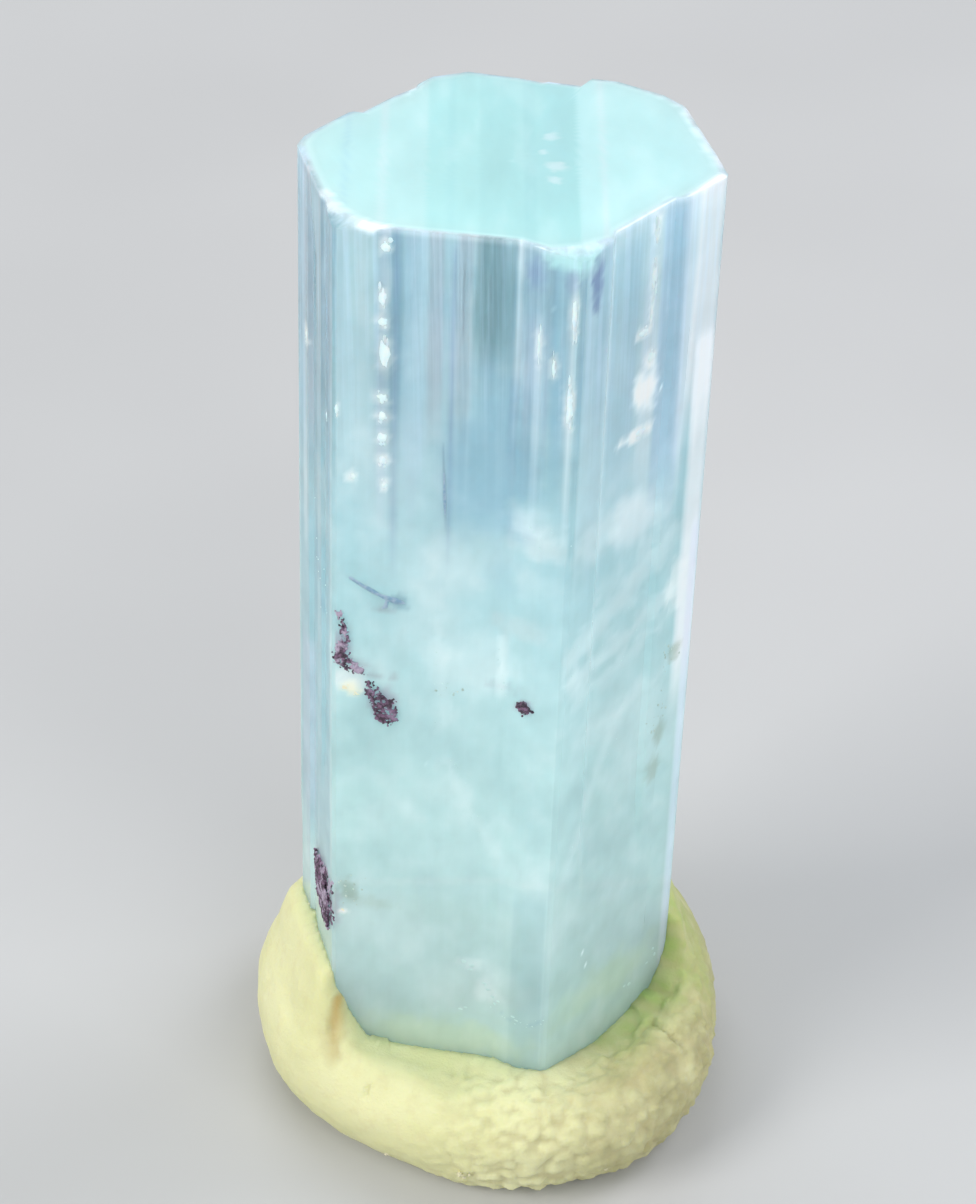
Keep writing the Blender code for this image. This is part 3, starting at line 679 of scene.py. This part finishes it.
def finish_piece(name, verts, faces, material, sharp=math.radians(50)):
    """Makes a piece from gathered vertices and faces, with its faces turned outwards."""
    data = mesh_from(name, verts, faces)
    mesh = bmesh.new()
    mesh.from_mesh(data)
    bmesh.ops.recalc_face_normals(mesh, faces=mesh.faces[:])
    mesh.to_mesh(data)
    mesh.free()
    data.shade_smooth()
    data.set_sharp_from_angle(angle=sharp)
    data.materials.append(material)
    made = add_object(name, data)
    return made


def face_axes(normal, wide, tall, deep):
    """Half extents along a face, up it and into it, from millimetres."""
    up = (LEAN.normalized() - normal * LEAN.normalized().dot(normal)).normalized()
    return normal.cross(up) * (wide * MM), up * (tall * MM), normal * (deep * MM)


def build_beads(skin, material):
    """White growth bubbles in rows under the front faces."""
    rng = random.Random(21)
    verts, faces = [], []
    for face, along, up, wide, tall in BEADS:
        spot, normal = skin.spot(face, along, up, BEAD_THICK - BEAD_RISE)
        blob(verts, faces, spot, face_axes(normal, wide, tall, BEAD_THICK), rng, 0.5, rings=9, sides=16)
        for _ in range(rng.randint(1, 3)):
            share = rng.uniform(0.25, 0.55)
            aside, above = rng.uniform(-0.9, 0.9) * wide, rng.choice((-1, 1)) * rng.uniform(0.8, 1.3) * tall
            above = min(above, BEAD_TOP - up - tall * share)
            spot, normal = skin.spot(face, along + aside, up + above, (BEAD_THICK - BEAD_RISE) * share)
            axes = face_axes(normal, wide * share, tall * share, BEAD_THICK * share)
            blob(verts, faces, spot, axes, rng, 0.6, rings=6, sides=10)
    return finish_piece("growth_bubbles", verts, faces, material)


def build_growth_tubes(skin, material):
    """Fine hollow tubes that run up the crystal beside its axis, most of them in the clear upper part."""
    rng = random.Random(8)
    verts, faces = [], []
    for _ in range(GROWTH_TUBES):
        face = rng.choice((FRONT, FRONT, RIGHT_FRONT, RIGHT_FRONT, LEFT, BACK_LEFT, BACK, RIGHT_BACK))
        along, depth = rng.uniform(0.6, face_length(face) - 0.6), rng.uniform(0.25, 2.6)
        low = rng.uniform(36, 57)
        high = min(low + rng.uniform(1.5, 9.0), 60.8)
        radius = rng.uniform(0.020, 0.060) * MM
        base, _ = skin.spot(face, along, low, depth)
        steps = [0.0, 0.12, 0.45, 0.8, 1.0]
        points = [base + LEAN * ((high - low) * MM * step) for step in steps]
        tube(verts, faces, points, [radius * share for share in (0.2, 0.8, 1.0, 0.8, 0.15)], sides=6)
    return finish_piece("growth_tubes", verts, faces, material)


def strand_on_face(verts, faces, skin, face, path, depth, flat):
    spots = [skin.spot(face, along, up, depth) for along, up, _ in path]
    tube(verts, faces, [spot for spot, _ in spots], [width * MM for _, _, width in path], flat, spots[0][1], sides=10)


def build_needle(skin, material):
    """The grey-blue needle and its fork on the front left, and the indigo seam above them."""
    verts, faces = [], []
    for path in (NEEDLE, NEEDLE_FORK, INDIGO_SEAM):
        strand_on_face(verts, faces, skin, FRONT, path, 0.02, 0.25)
    return finish_piece("needle_inclusion", verts, faces, material)


def build_veils(skin, material):
    """Healed cracks: curved sheets of tiny white flecks under the faces, and specks near the foot."""
    rng = random.Random(33)
    verts, faces = [], []
    for face, line, half, _, _ in all_veils():
        for _ in range(VEIL_FLECKS):
            place = line[rng.randrange(len(line))].lerp(line[rng.randrange(len(line))], rng.uniform(0.0, 0.08))
            spot, normal = skin.spot(face, place.x + rng.gauss(0, 0.35), place.y + rng.gauss(0, half * 0.6), 0.0)
            size = rng.uniform(0.015, 0.04)
            blob(verts, faces, spot, face_axes(normal, size * rng.uniform(1, 2.0), size, size * 0.5), rng,
                 rings=4, sides=6)
    for face, groups in ((FRONT, FOOT_FLECKS), (RIGHT_FRONT, SIDE_FLECKS)):
        for along, up, count, spread in groups:
            for _ in range(count):
                spot, normal = skin.spot(face, along + rng.gauss(0, spread), up + rng.gauss(0, spread), 0.0)
                wide, tall = rng.uniform(0.07, 0.16), rng.uniform(0.06, 0.14)
                blob(verts, faces, spot, face_axes(normal, wide, tall, 0.015), rng, 0.5, rings=7, sides=12)
    return finish_piece("veils", verts, faces, material)


STAINS = {  # name: (face, along, height, spread along, spread up, flecks)
    "moss_by_corner": (FRONT, 0.95, 18.3, 0.45, 0.70, 22),
    "moss_right_high": (RIGHT_FRONT, 8.75, 32.6, 0.35, 0.70, 16),
    "moss_right_low": (RIGHT_FRONT, 8.10, 28.2, 0.42, 0.80, 18),
    "moss_mid": (FRONT, 6.2, 33.6, 0.90, 0.45, 9),
}
CREAM_PATCH = [(FRONT, 0.80, 32.9, 0.42, 0.40), (FRONT, 1.25, 32.5, 0.24, 0.22), (FRONT, 0.62, 16.6, 0.20, 0.22)]


def build_stains(skin, moss, cream):
    """Grey-green mossy flecks, and cream patches by the dark crusts."""
    rng = random.Random(44)
    verts, faces = [], []
    for face, along, up, wide, tall, count in STAINS.values():
        for _ in range(count):
            spot, normal = skin.spot(face, max(along + rng.gauss(0, wide), 0.15), up + rng.gauss(0, tall),
                                     0.01)
            size = rng.uniform(0.03, 0.10)
            blob(verts, faces, spot, face_axes(normal, size, size * rng.uniform(0.6, 1.6), size * 0.4), rng,
                 0.6, rings=4, sides=6)
    finish_piece("moss_flecks", verts, faces, moss)
    verts, faces = [], []
    for face, along, up, wide, tall in CREAM_PATCH:
        spot, normal = skin.spot(face, along, up, 0.10)
        blob(verts, faces, spot, face_axes(normal, wide, tall, 0.12), rng, 0.5)
    finish_piece("cream_patches", verts, faces, cream)


def inclusion_material(name, colour, other, rough=0.45, glow=0.0):
    """A mottled mineral for what lies inside the crystal."""
    paint = Paint(name, IOR=1.5, Subsurface_Weight=glow, Subsurface_Scale=0.0006)
    mottle = paint.noise(3.0, detail=4.0)
    colour = paint.mix(paint.remap(mottle, 0.35, 0.65), colour, other)
    paint.set(Base_Color=colour, Roughness=paint.remap(mottle, 0.3, 0.7, rough, rough + 0.2))
    return paint.material


# --- Dark crusts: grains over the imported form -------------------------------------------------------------
GRAIN_VOXEL = 0.030 * MM
GRAINS_PER_SQUARE_MM = 150
GRAIN_SIZES = (0.045, 0.105)
RAGGED, MOST_PROUD = 0.07 * MM, 0.15 * MM
BARE_BELOW = -0.34  # grains are left out where the patch noise is under this, so that beryl shows between them
STRAY_GRAINS = [(FRONT, 1.95, 33.95, 0.06), (FRONT, 2.15, 34.05, 0.07), (FRONT, 2.30, 33.85, 0.05),
                (FRONT, 3.30, 32.25, 0.10), (FRONT, 3.45, 32.00, 0.08), (FRONT, 3.62, 31.80, 0.05)]
CORNER_SPILL, SPILL_HEIGHTS = 60, (15.0, 18.5)  # grains along the corner, and their heights in mm
SPECK_GRAINS = [(FRONT, 10.28, 33.32, 0.18), (FRONT, 10.50, 33.36, 0.32), (FRONT, 10.70, 33.28, 0.18),
                (FRONT, 10.46, 33.08, 0.17), (FRONT, 10.58, 33.58, 0.13), (FRONT, 10.36, 33.55, 0.12)]
MIDDLE_HOOK = [(FRONT, 3.15, 32.35, 0.13), (FRONT, 3.33, 32.48, 0.11), (FRONT, 3.48, 32.36, 0.08),
               (FRONT, 3.46, 31.70, 0.09), (FRONT, 3.42, 31.42, 0.11), (FRONT, 3.28, 31.15, 0.12)]
CORNER_BODY = [(4.3, 17.9), (6.75, 18.6), (6.7, 14.8), (5.0, 16.2)]  # outline along and up the left face, in mm
CORNER_GRAINS = 240


def grain_points(solid, skin, rng):
    """Seeded points over a crust's outer side: (point, normal, patch value that sets the grain there)."""
    for face in solid.data.polygons:
        a, b, c = (solid.data.vertices[v].co for v in face.vertices[:3])
        expected = face.area / MM / MM * GRAINS_PER_SQUARE_MM
        for _ in range(int(expected) + (rng.random() < expected % 1)):
            u, v = sorted((rng.random(), rng.random()))
            spot = a * u + b * (v - u) + c * (1 - v)
            spot += Vector((rng.gauss(0, 1), rng.gauss(0, 1), rng.gauss(0, 1))) * RAGGED
            touch, normal, _, _ = skin.tree.find_nearest(spot)
            patch = noise.noise(spot / (0.55 * MM))
            if face.normal.dot(normal) > 0.4 and (patch > BARE_BELOW or rng.random() < 0.25):
                proud = min(max((spot - touch).dot(normal), 0.0), MOST_PROUD)
                yield touch + normal * proud, normal, patch


def build_crust(name, skin, material, extra=()):
    """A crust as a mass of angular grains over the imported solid's form, thin and broken in places."""
    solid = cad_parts[name]
    rng = random.Random(name)
    verts, faces = [], []
    for spot, normal, patch in grain_points(solid, skin, rng):
        size = rng.uniform(*GRAIN_SIZES) * (0.8 + 0.7 * max(patch, 0.0)) * MM
        side = normal.orthogonal().normalized()
        axes = (side * size, normal.cross(side) * size, normal * size * 0.8)
        blob(verts, faces, spot, axes, rng, 0.9, rings=4, sides=6)
    for spot, axes in extra:
        blob(verts, faces, spot, axes, rng, 0.9, rings=5, sides=8)
    made = finish_piece(name + "_grains", verts, faces, material)
    remesh = made.modifiers.new("fuse", "REMESH")
    remesh.mode = "VOXEL"
    remesh.voxel_size = GRAIN_VOXEL
    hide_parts(name)
    return made


def corner_grains():
    """Grains along the corner and over the corner crust's outline, as (face, along, up, size)."""
    rng = random.Random(77)
    found = [(LEFT, face_length(LEFT) + rng.gauss(-0.34, 0.12), rng.uniform(*SPILL_HEIGHTS), rng.uniform(0.06, 0.14))
             for _ in range(CORNER_SPILL)]
    while len(found) < CORNER_SPILL + CORNER_GRAINS:
        along, up = rng.uniform(4.0, 6.8), rng.uniform(14.6, 18.8)
        inside = False
        for (x1, y1), (x2, y2) in zip(CORNER_BODY, CORNER_BODY[1:] + CORNER_BODY[:1]):
            if (y1 > up) != (y2 > up) and along < x1 + (up - y1) * (x2 - x1) / (y2 - y1):
                inside = not inside
        if inside:
            found.append((LEFT, along, up, rng.uniform(0.05, 0.13)))
    return found


def stray_grains(skin, grains):
    found = []
    for face, along, up, size in grains:
        spot, normal = skin.spot(face, along, up, 0.03)
        found.append((spot, face_axes(normal, size, size * 1.2, size * 0.6)))
    return found


def crust_material(name, pale, least, most, share):
    """Dark purple-brown mineral, mottled with dull mauve. The pale share shows between two values of a noise."""
    paint = Paint(name, IOR=1.6)
    mottle = paint.noise(4.5, detail=5.0)
    patches = paint.noise(1.5, detail=4.0)
    colour = paint.mix(paint.remap(mottle, 0.40, 0.64), (0.030, 0.012, 0.030), (0.20, 0.11, 0.19))
    colour = paint.mix(paint.remap(patches, least, most, 0.0, share), colour, pale)
    paint.set(Base_Color=colour, Roughness=paint.remap(mottle, 0.3, 0.7, 0.45, 0.75),
              Normal=paint.bump(mottle, 0.6, 0.03 * MM))
    return paint.material


# --- Putty ------------------------------------------------------------------------------------------------
PUTTY_VOXEL = 0.22 * MM
CLING_WITHIN = 0.42 * MM  # putty this near to the crystal is drawn up to it
CLING_ACROSS = 1.2 * MM  # and putty that faces the crystal from this near
CLING_GAP = -0.10 * MM  # the putty's hidden wall lies just inside the crystal's surface, so the lip has no slot
SMOOTH_WITHIN, SMOOTH_PASSES, SPREAD_PASSES, FACING_PASSES = 1.5 * MM, 12, 10, 4
BOX_MARGIN = 0.01 * MM  # left between the lump and the sides of the whole model's box
LIP_TOP = 13.5 * MM
PUTTY_RELIEF = [(0.22, 0.16), (0.75, 0.070), (2.2, 0.026)]  # noise per mm, height in mm
DIMPLES_TOWARDS = math.radians(312)  # the handled side
DIMPLE_DEEP, DIMPLE_GAP = 0.42 * MM, 0.80 * MM
CREASES = [  # points as direction in degrees, distance from the middle and height in mm; then width and depth
    ([(194, 11.1, 11.9), (203, 11.3, 11.7), (211, 11.6, 11.4), (214.5, 11.2, 10.8), (216, 10.9, 10.2)], 0.26, 0.34),
    ([(216.5, 10.7, 10.0), (217.5, 11.0, 9.2), (218.2, 11.4, 8.3)], 0.42, 0.30),
    ([(218.2, 11.4, 8.3), (221.4, 11.6, 7.7), (224.5, 11.9, 7.2)], 0.28, 0.14),
    ([(234.6, 11.9, 6.4), (234.9, 12.2, 5.9)], 0.24, 0.30),
    ([(258.3, 8.9, 6.9), (257.9, 9.6, 6.9)], 0.24, 0.15),
    ([(332.5, 10.7, 7.0), (330.1, 11.5, 7.3), (329.4, 12.1, 7.3), (329.0, 12.7, 7.0), (329.4, 13.1, 6.7)], 0.28, 0.42),
    ([(30, 11.5, 8.5), (44, 12.4, 7.0), (58, 12.8, 6.0)], 0.45, 0.40),
    ([(128, 11.2, 9.0), (140, 12.5, 7.2), (146, 13.2, 5.0)], 0.40, 0.42),
]
KNOBS = [  # direction in degrees, distance from the middle and height, half width and height of the swelling, in mm
    (322, 12.1, 6.9, 1.9, 0.34), (306, 12.8, 5.6, 1.5, 0.20), (262, 11.8, 5.6, 2.2, 0.14), (204, 12.6, 9.6, 1.8, 0.20),
    (75, 12.0, 8.0, 2.2, 0.26), (150, 12.4, 7.4, 2.0, 0.22)]
CRUMBS = [(262.9, 13.0, 2.6, 0.22), (265.4, 13.05, 2.4, 0.16), (264.0, 12.95, 2.1, 0.12), (241.0, 12.4, 1.6, 0.12),
          (300.0, 13.3, 2.2, 0.13), (20.0, 13.1, 1.7, 0.17), (104.0, 12.9, 2.0, 0.15), (168.0, 13.2, 1.8, 0.13)]
CRUMB_COLOUR, CRUMB_SHARE = (0.80, 0.70, 0.48), 0.5
STAIN_LINE = [(216.5, 10.7, 10.0), (217.5, 11.0, 9.2), (218.4, 11.4, 8.2), (222.0, 11.8, 7.4)]
STAIN_TOP, STAIN_FOOT = 10.4 * MM, 7.0 * MM  # its heights
STAIN_WIDTHS = (0.60 * MM, 1.25 * MM)  # at its top and its foot
# Brown is a real stain; the green is a painted glow of light through the crystal; the olive is a tinge with painted
# shade.
BROWN, PAINTED_GLOW_GREEN, OLIVE_AND_PAINTED_SHADE = (0.56, 0.36, 0.10), (0.37, 0.51, 0.12), (0.34, 0.31, 0.14)
PAINTED_HOLLOW_SHADE = (0.50, 0.42, 0.20)  # painted shade in the hollows of the handled side
PAINTED_GLOW_TOWARDS, OLIVE_SHADE_TOWARDS = math.radians(12), math.radians(345)  # sides with painted light: a painted green glow beside the crystal, and an olive tinge with painted shade on the outer side
PAINTED_GLOW_WITHIN = 4.5 * MM  # painted glow reaches this far from the crystal


def polar(point):
    turn, reach, height = point
    return direction(math.radians(turn)) * (reach * MM) + Vector((0.0, 0.0, height * MM))


def grain_distance(spot):
    """How far a spot is from the nearest grain of the handled side's rough skin, in grain spacings."""
    warped = spot / DIMPLE_GAP + noise.noise_vector(spot / (1.3 * DIMPLE_GAP)) * 0.45
    return noise.voronoi(warped)[0][0]


def putty_relief(spot):
    """Outward height of the handled surface at a spot, in metres."""
    height = sum(size * noise.noise(spot * (density / MM)) for density, size in PUTTY_RELIEF) * MM
    towards = direction(DIMPLES_TOWARDS).dot(Vector((spot.x, spot.y, 0.0)).normalized())
    grip = ramp(towards, 0.30, 0.90)
    height += grip * DIMPLE_DEEP * (0.4 - min(grain_distance(spot), 0.8))
    return height + grip * 0.35 * DIMPLE_DEEP * noise.noise(spot * (1.9 / MM))


def putty_marks_and_painted_light(spot, gap, from_stain):
    """Colour and strength of what is painted on the putty: a brown stain, a painted green glow from light through the
    crystal, painted shade in the hollows of the handled side, and an olive tinge with painted shade on the outer side.
    """
    flat = Vector((spot.x, spot.y, 0.0)).normalized()
    rough = 0.5 + noise.fractal(spot / (1.6 * MM), 1.0, 2.0, 3)
    low = ramp(spot.z, STAIN_TOP, STAIN_FOOT)
    width = STAIN_WIDTHS[0] + (STAIN_WIDTHS[1] - STAIN_WIDTHS[0]) * low
    brown = (1.0 - 0.40 * low) * ramp(from_stain, width * (0.55 + 0.75 * rough), 0.0)
    grip = ramp(flat.dot(direction(DIMPLES_TOWARDS)), 0.45, 0.95)
    # painted shade in the hollows between the grains of the handled side
    hollow_shade = 0.55 * grip * ramp(grain_distance(spot), 0.42, 0.78)
    # painted glow: green light through the crystal, on the putty beside it
    painted_glow = ramp(flat.dot(direction(PAINTED_GLOW_TOWARDS)), 0.35, 0.85) * ramp(gap, PAINTED_GLOW_WITHIN, 0.5 * MM)
    # olive tinge with painted shade on the outer side
    olive_and_shade = ramp(flat.dot(direction(OLIVE_SHADE_TOWARDS)), 0.30, 0.95) * (0.65 + 0.5 * rough)
    colour, strength = Vector(OLIVE_AND_PAINTED_SHADE), 0.75 * min(olive_and_shade, 1.0)
    for tint, share in ((PAINTED_GLOW_GREEN, painted_glow * (0.6 + 0.4 * rough)), (PAINTED_HOLLOW_SHADE, hollow_shade), (BROWN, brown)):
        share = min(max(share, 0.0), 1.0)
        colour, strength = colour.lerp(Vector(tint), share), max(strength, 0.85 * share)
    return (*colour, strength)


def mean_of_neighbours(field, edges):
    """For each vertex, the mean of a field over the vertices that share an edge with it."""
    total = np.zeros_like(field)
    np.add.at(total, edges[:, 0], field[edges[:, 1]])
    np.add.at(total, edges[:, 1], field[edges[:, 0]])
    return total / np.bincount(edges.ravel(), minlength=len(field))[:, None]


def against(crystal_tree, place):
    touch, normal, _, _ = crystal_tree.find_nearest(Vector(place))
    return touch + normal * CLING_GAP


def cling(data, crystal_tree, spots, gaps, facing):
    """Draws the putty up to the crystal where it is near, and smooths the lip beside it."""
    places = np.array([tuple(spot) for spot in spots])
    edges = np.array([edge.vertices[:] for edge in data.edges])
    facing = np.array(facing, float)[:, None]
    for _ in range(FACING_PASSES):
        facing = 0.5 * (facing + mean_of_neighbours(facing, edges))
    gaps = np.where(facing[:, 0] > 0.5, 0.0, gaps)
    held = np.flatnonzero((gaps < CLING_WITHIN) & (places[:, 2] < LIP_TOP))
    reach = np.clip((SMOOTH_WITHIN - gaps) / (SMOOTH_WITHIN - CLING_WITHIN), 0.0, 1.0)[:, None] * 0.6
    pull = np.zeros_like(places)
    pull[held] = [against(crystal_tree, places[index]) - Vector(places[index]) for index in held]
    firm = pull[held]
    for _ in range(SPREAD_PASSES):
        pull += (mean_of_neighbours(pull, edges) - pull) * reach
        pull[held] = firm
    places += pull
    for _ in range(SMOOTH_PASSES):
        places += (mean_of_neighbours(places, edges) - places) * reach
        places[held] = [against(crystal_tree, places[index]) for index in held]
    places = np.clip(places, CAD_BOX[0], CAD_BOX[1])
    data.vertices.foreach_set("co", places.ravel())
    data.update()


def room_within(box, spot, normal):
    """How far a spot can move along its normal and stay inside a box."""
    room = 1.0
    for axis in range(2):
        if abs(normal[axis]) > 0.05:
            side = box[1][axis] if normal[axis] > 0 else box[0][axis]
            room = min(room, (side - spot[axis]) / normal[axis])
    return max(room - BOX_MARGIN, 0.0)


def build_crumbs(lump):
    """Crumbs of putty stuck low on its side."""
    rng = random.Random(3)
    surface = tree_of(lump)
    verts, faces = [], []
    for turn, reach, height, size in CRUMBS:
        middle, _, _, _ = surface.find_nearest(polar((turn, reach, height)))
        axes = [Vector(axis) * (size * rng.uniform(0.7, 1.2) * MM) for axis in ((1, 0, 0), (0, 1, 0), (0, 0, 1))]
        blob(verts, faces, middle, axes, rng, 0.9, rings=6, sides=9)
    verts = [Vector(spot) for spot in np.clip(np.array([tuple(spot) for spot in verts]), CAD_BOX[0], CAD_BOX[1])]
    made = finish_piece("putty_crumbs", verts, faces, lump.data.materials[0])
    plain = (*CRUMB_COLOUR, CRUMB_SHARE) * len(made.data.vertices)
    made.data.attributes.new("marks_and_painted_light", "FLOAT_COLOR", "POINT").data.foreach_set("color", plain)
    return made


def build_putty(crystal):
    """The putty lump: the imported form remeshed, drawn up to the crystal, creased and dimpled."""
    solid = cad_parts["putty_base"]
    made = add_object("putty_lump", solid.data.copy())
    made.data.materials.clear()
    remesh = made.modifiers.new("even", "REMESH")
    remesh.mode = "VOXEL"
    remesh.voxel_size = PUTTY_VOXEL
    bpy.context.view_layer.update()
    even = bpy.data.meshes.new_from_object(made.evaluated_get(bpy.context.evaluated_depsgraph_get()))
    made.modifiers.clear()
    made.data = even
    crystal_tree = tree_of(crystal)
    creases = [([polar(point) for point in line], wide * MM, deep * MM) for line, wide, deep in CREASES]
    knobs = [(polar((turn, reach, height)), wide * MM, high * MM) for turn, reach, height, wide, high in KNOBS]
    stain_line = [polar(point) for point in STAIN_LINE]
    marks_and_painted_light, spots, gaps, facing = [], [], [], []
    for v in even.vertices:
        touch, _, _, gap = crystal_tree.find_nearest(v.co)
        marks_and_painted_light.append(putty_marks_and_painted_light(v.co, gap, distance_to_line(v.co, stain_line)))
        lift = putty_relief(v.co)
        for line, wide, deep in creases:
            lift -= deep * ramp(distance_to_line(v.co, line), wide, 0.0)
        for middle, wide, high in knobs:
            lift += high * ramp((v.co - middle).length, wide, 0.0)
        lift *= ramp(v.co.z, 0.05 * MM, 0.9 * MM) * ramp(gap, CLING_WITHIN, 1.1 * MM)
        spots.append(v.co + v.normal * min(lift, room_within(CAD_BOX, v.co, v.normal)))
        gaps.append(gap)
        facing.append(gap < CLING_ACROSS and v.normal.dot(v.co - touch) < -0.3 * gap)
    cling(even, crystal_tree, spots, gaps, facing)
    even.attributes.new("marks_and_painted_light", "FLOAT_COLOR", "POINT").data.foreach_set("color", np.ravel(marks_and_painted_light))
    even.shade_smooth()
    even.materials.append(putty_material())
    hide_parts("putty_base")
    return made


def putty_material():
    """Pale yellow putty, a little see-through at its thin lip, with handling marks, a brown stain, and painted glow and
    shade.
    """
    paint = Paint("putty", IOR=1.5, Subsurface_Weight=0.30, Subsurface_Scale=0.0016,
                  Subsurface_Radius=(1.0, 0.85, 0.35))
    broad = paint.noise(0.13, detail=3.0)
    mottle = paint.noise(0.9, detail=5.0, rough=0.6)
    grain = paint.noise(5.5, detail=4.0, rough=0.65)
    marks_and_painted_light = paint.attribute("marks_and_painted_light")
    colour = paint.mix(paint.remap(broad, 0.35, 0.65), (0.72, 0.715, 0.38), (0.79, 0.78, 0.45))
    colour = paint.mix(paint.remap(mottle, 0.45, 0.75, 0.0, 0.40), colour, (0.68, 0.62, 0.34))
    colour = paint.mix(paint.remap(grain, 0.62, 0.78, 0.0, 0.30), colour, (0.50, 0.45, 0.26))
    # the brown stain, the painted glow and the painted shade over the putty's own colour
    colour = paint.mix(marks_and_painted_light.outputs["Alpha"], colour, marks_and_painted_light.outputs["Color"])
    relief = paint.maths("ADD", paint.maths("MULTIPLY", mottle, 0.6), paint.maths("MULTIPLY", grain, 0.4))
    paint.set(Base_Color=colour, Roughness=paint.remap(mottle, 0.3, 0.7, 0.52, 0.74),
              Normal=paint.bump(relief, 0.7, 0.16 * MM))
    return paint.material


# --- Stage ------------------------------------------------------------------------------------------------
FLOOR_SIZE = 1.6
CAMERA_AT = Vector((0.0, -0.1499, 0.15224))
CAMERA_AIM = Vector((0.0, 0.0, 0.034125))
CAMERA_LENS = 104.65
LIGHTS = {  # place, aim, size, watts, colour
    "key": ((-0.42, -0.22, 0.36), (0.0, 0.0, 0.03), 0.26, 1.95, (1.0, 0.985, 0.95)),
    "back": ((-0.10, 0.30, 0.50), (0.0, 0.0, 0.05), 0.34, 0.9, (0.96, 0.98, 1.0)),
    "front": ((0.30, -0.44, 0.42), (0.0, 0.0, 0.03), 0.45, 1.72, (0.98, 0.99, 1.0)),
    "edge": ((0.24, 0.10, 0.30), (0.005, 0.0, 0.04), 0.16, 0.45, (0.92, 0.93, 1.0)),
}
WORLD_COLOUR = (0.80, 0.84, 0.88)
WORLD_STRENGTH = 0.49


def aimed(obj, place, aim):
    obj.location = place
    obj.rotation_euler = (Vector(aim) - Vector(place)).to_track_quat("-Z", "Y").to_euler()


def build_stage():
    """A plain pale floor, soft lights and an even sky."""
    half = FLOOR_SIZE / 2
    floor = add_object("floor", mesh_from("floor", [(-half, -half, 0), (half, -half, 0), (half, half, 0),
                                                    (-half, half, 0)], [(0, 1, 2, 3)]), body=None)
    paint = Paint("floor", Specular_IOR_Level=0.25)
    tone = paint.noise(0.02, detail=2.0)
    paint.set(Base_Color=paint.mix(paint.remap(tone, 0.3, 0.7), (0.50, 0.50, 0.50), (0.53, 0.53, 0.53)), Roughness=0.7)
    floor.data.materials.append(paint.material)
    for name, (place, aim, size, watts, colour) in LIGHTS.items():
        lamp = bpy.data.lights.new(name, "AREA")
        lamp.size, lamp.energy, lamp.color = size, watts, colour
        aimed(add_object(name, lamp, body=None), place, aim)
    world = bpy.data.worlds.new("studio")
    world.use_nodes = True
    sky = world.node_tree.nodes["Background"]
    sky.inputs["Color"].default_value = (*WORLD_COLOUR, 1.0)
    sky.inputs["Strength"].default_value = WORLD_STRENGTH
    bpy.context.scene.world = world
    bpy.context.scene.view_settings.view_transform = "Standard"


def build_camera():
    lens = bpy.data.cameras.new("camera")
    lens.lens = CAMERA_LENS
    lens.clip_start = 0.01
    camera = add_object("camera", lens, body=None)
    aimed(camera, CAMERA_AT, CAMERA_AIM)
    bpy.context.scene.camera = camera


build_camera()
build_stage()
crystal = build_crystal()
skin = Skin(crystal)
white = inclusion_material("white_growth", (0.86, 0.96, 0.97), (0.97, 0.99, 0.97), glow=0.4)
build_beads(skin, white)
build_growth_tubes(skin, inclusion_material("tube_wall", (0.74, 0.86, 0.95), (0.95, 0.97, 1.0), rough=0.25))
build_needle(skin, inclusion_material("needle", (0.19, 0.34, 0.48), (0.35, 0.47, 0.58)))
build_veils(skin, inclusion_material("fleck", (0.46, 0.65, 0.65), (0.56, 0.76, 0.74), rough=0.72))
build_stains(skin, inclusion_material("moss", (0.34, 0.46, 0.42), (0.52, 0.64, 0.58)),
             inclusion_material("cream", (0.93, 0.88, 0.62), (0.86, 0.80, 0.60), glow=0.3))
dark = crust_material("dark_mineral", (0.34, 0.26, 0.38), 0.54, 0.68, 0.65)
mauve = crust_material("mauve_mineral", (0.48, 0.40, 0.52), 0.46, 0.58, 0.85)
build_crust("dark_crust_upper", skin, mauve)
build_crust("dark_crust_middle", skin, dark, stray_grains(skin, STRAY_GRAINS + MIDDLE_HOOK))
build_crust("dark_crust_speck", skin, dark, stray_grains(skin, SPECK_GRAINS))
build_crust("dark_crust_corner", skin, mauve, stray_grains(skin, corner_grains()))
build_crumbs(build_putty(crystal))
